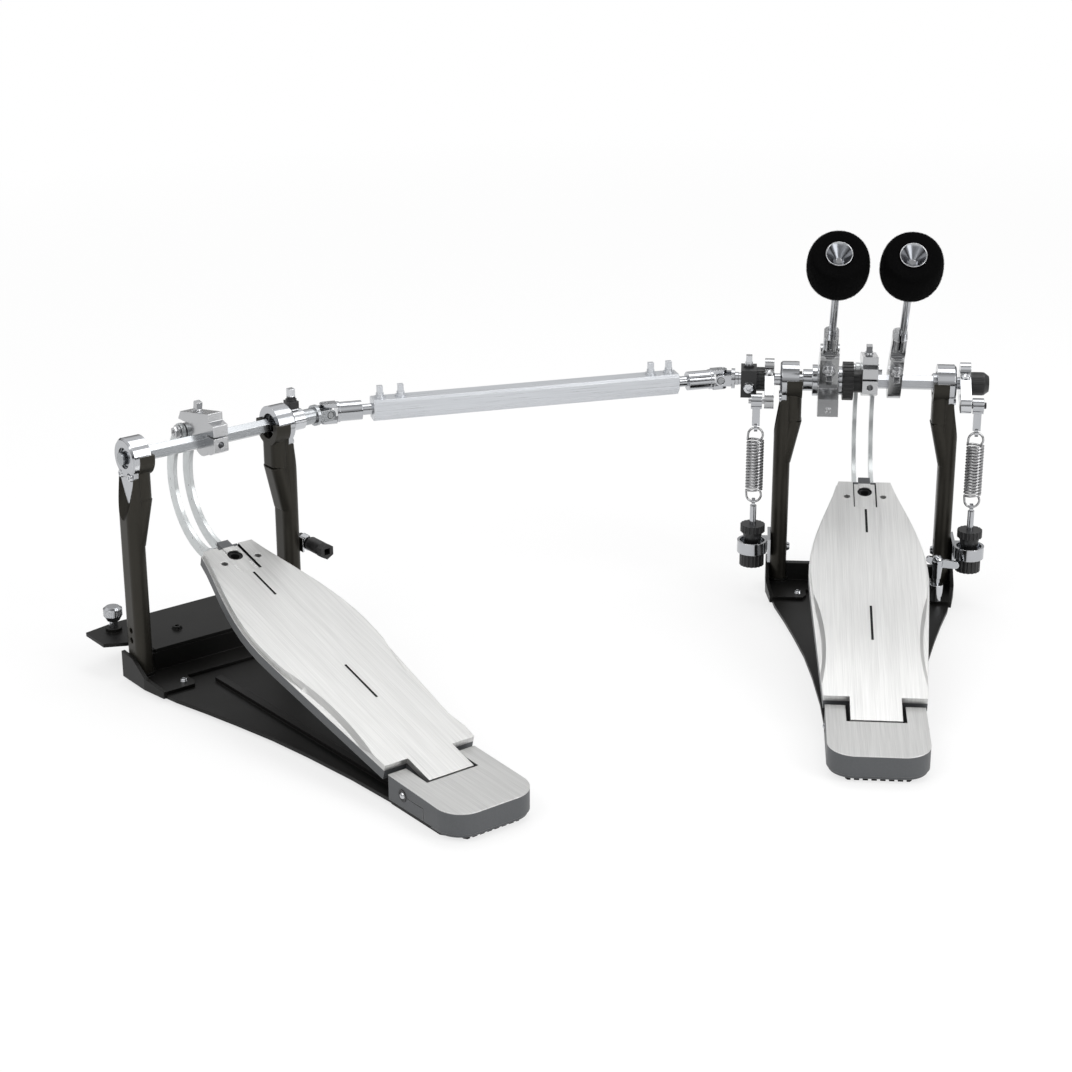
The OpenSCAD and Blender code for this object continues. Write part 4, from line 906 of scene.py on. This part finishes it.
# %% Place the camera
PHOTO_SIZE = 1072
FOCAL_PIXELS = 2358.24
SENSOR_WIDTH = 36
CAMERA_SPOT = (-0.110766, -1.888442, 0.758748)
yaw, pitch, roll = (math.radians(a) for a in (5.004, 20.769, -0.195))
level = math.cos(pitch)
forward = Vector((-math.sin(yaw) * level, math.cos(yaw) * level, -math.sin(pitch)))
right = Vector((math.cos(yaw), math.sin(yaw), 0))
up = right.cross(forward)
camera_data = bpy.data.cameras.new("camera")
camera_data.sensor_width = SENSOR_WIDTH
camera_data.lens = FOCAL_PIXELS * SENSOR_WIDTH / PHOTO_SIZE
camera_data.clip_end = 50
camera = bpy.data.objects.new("camera", camera_data)
scene.collection.objects.link(camera)
looking = Matrix((right, up, -forward)).transposed().to_4x4()
stand = Matrix.Translation(CAMERA_SPOT)
camera.matrix_world = stand @ looking @ Matrix.Rotation(roll, 4, "Z")
scene.camera = camera

# %% [markdown]
# ## Floor and light
#
# The floor is plain and pale. Seen by the camera or in a mirror it glows a little, so that it reads as
# white paper, and what is left of its own shading keeps the soft shadow. Further out the glow takes
# over, so that the floor ends in white without a horizon. The room is a gradient with a darker band at
# the horizon, because chrome with nothing dark to mirror looks like plaster.


# %% Floor
floor_mesh = bpy.data.meshes.new("floor")
FLOOR_REACH = 8
corners = [(x * FLOOR_REACH, y * FLOOR_REACH, 0) for x, y in ((-1, -1), (1, -1), (1, 1), (-1, 1))]
floor_mesh.from_pydata(corners, [], [(0, 1, 2, 3)])
floor = bpy.data.objects.new("floor", floor_mesh)
scene.collection.objects.link(floor)
paper = Finish("paper", MAIN, {"Base Color": (0.86, 0.86, 0.86, 1), "Roughness": 0.9})
path = paper.node("ShaderNodeLightPath")
seen = path[0].maths("MAXIMUM", path[0], path[3])
glow = paper.node("ShaderNodeEmission", inputs={"Color": (1, 1, 1, 1), "Strength": 1.0})[0]
surface = paper.shader.outputs[0]
mixed = paper.tree.nodes.new("ShaderNodeMixShader")
distance = paper.vector_maths("LENGTH", paper.spot)[1]
whiteness = paper.ramp(distance * 0.4, (0.3, 0.72), (0.8, 1.0))
paper.tree.links.new((seen * whiteness).socket, mixed.inputs[0])
paper.tree.links.new(surface, mixed.inputs[1])
paper.tree.links.new(glow.socket, mixed.inputs[2])
paper.tree.links.new(mixed.outputs[0], paper.tree.nodes["Material Output"].inputs[0])
floor_mesh.materials.append(paper.material)

# %% Room
world = bpy.data.worlds.new("studio")
scene.world = world
world.use_nodes = True
room = NodeTree(world.node_tree)
direction = room.node("ShaderNodeTexCoord")[0]
height = room.node("ShaderNodeSeparateXYZ", inputs={0: direction})[2]
SKY = ((0.0, 0.03), (0.13, 0.04), (0.22, 0.45), (0.42, 0.62), (0.52, 0.95), (0.8, 0.95), (1.0, 0.3))
shade = room.ramp(height, *SKY)
path = room.node("ShaderNodeLightPath")
colour = room.mix(path[0], shade, (1, 1, 1))
background = world.node_tree.nodes["Background"]
world.node_tree.links.new(colour.socket, background.inputs["Color"])
background.inputs["Strength"].default_value = 1.0


# %% Lamps
def lamp(name, spot, size, watts):
    """A soft rectangular lamp that points at the middle of the pedals."""
    data = bpy.data.lights.new(name, "AREA")
    data.shape = "RECTANGLE"
    data.size, data.size_y = size
    data.energy = watts
    holder = bpy.data.objects.new(name, data)
    scene.collection.objects.link(holder)
    holder.location = spot
    holder.rotation_euler = (MIDDLE - Vector(spot)).to_track_quat("-Z", "Y").to_euler()


MIDDLE = Vector((-0.25, -0.1, 0.1))
lamp("key", (-1.3, -1.5, 1.9), (1.2, 1.2), 14)
lamp("fill", (1.5, -1.1, 1.2), (1.0, 1.4), 19)
lamp("top", (0.0, 0.4, 2.2), (1.8, 0.8), 15)
scene.view_settings.view_transform = "Standard"
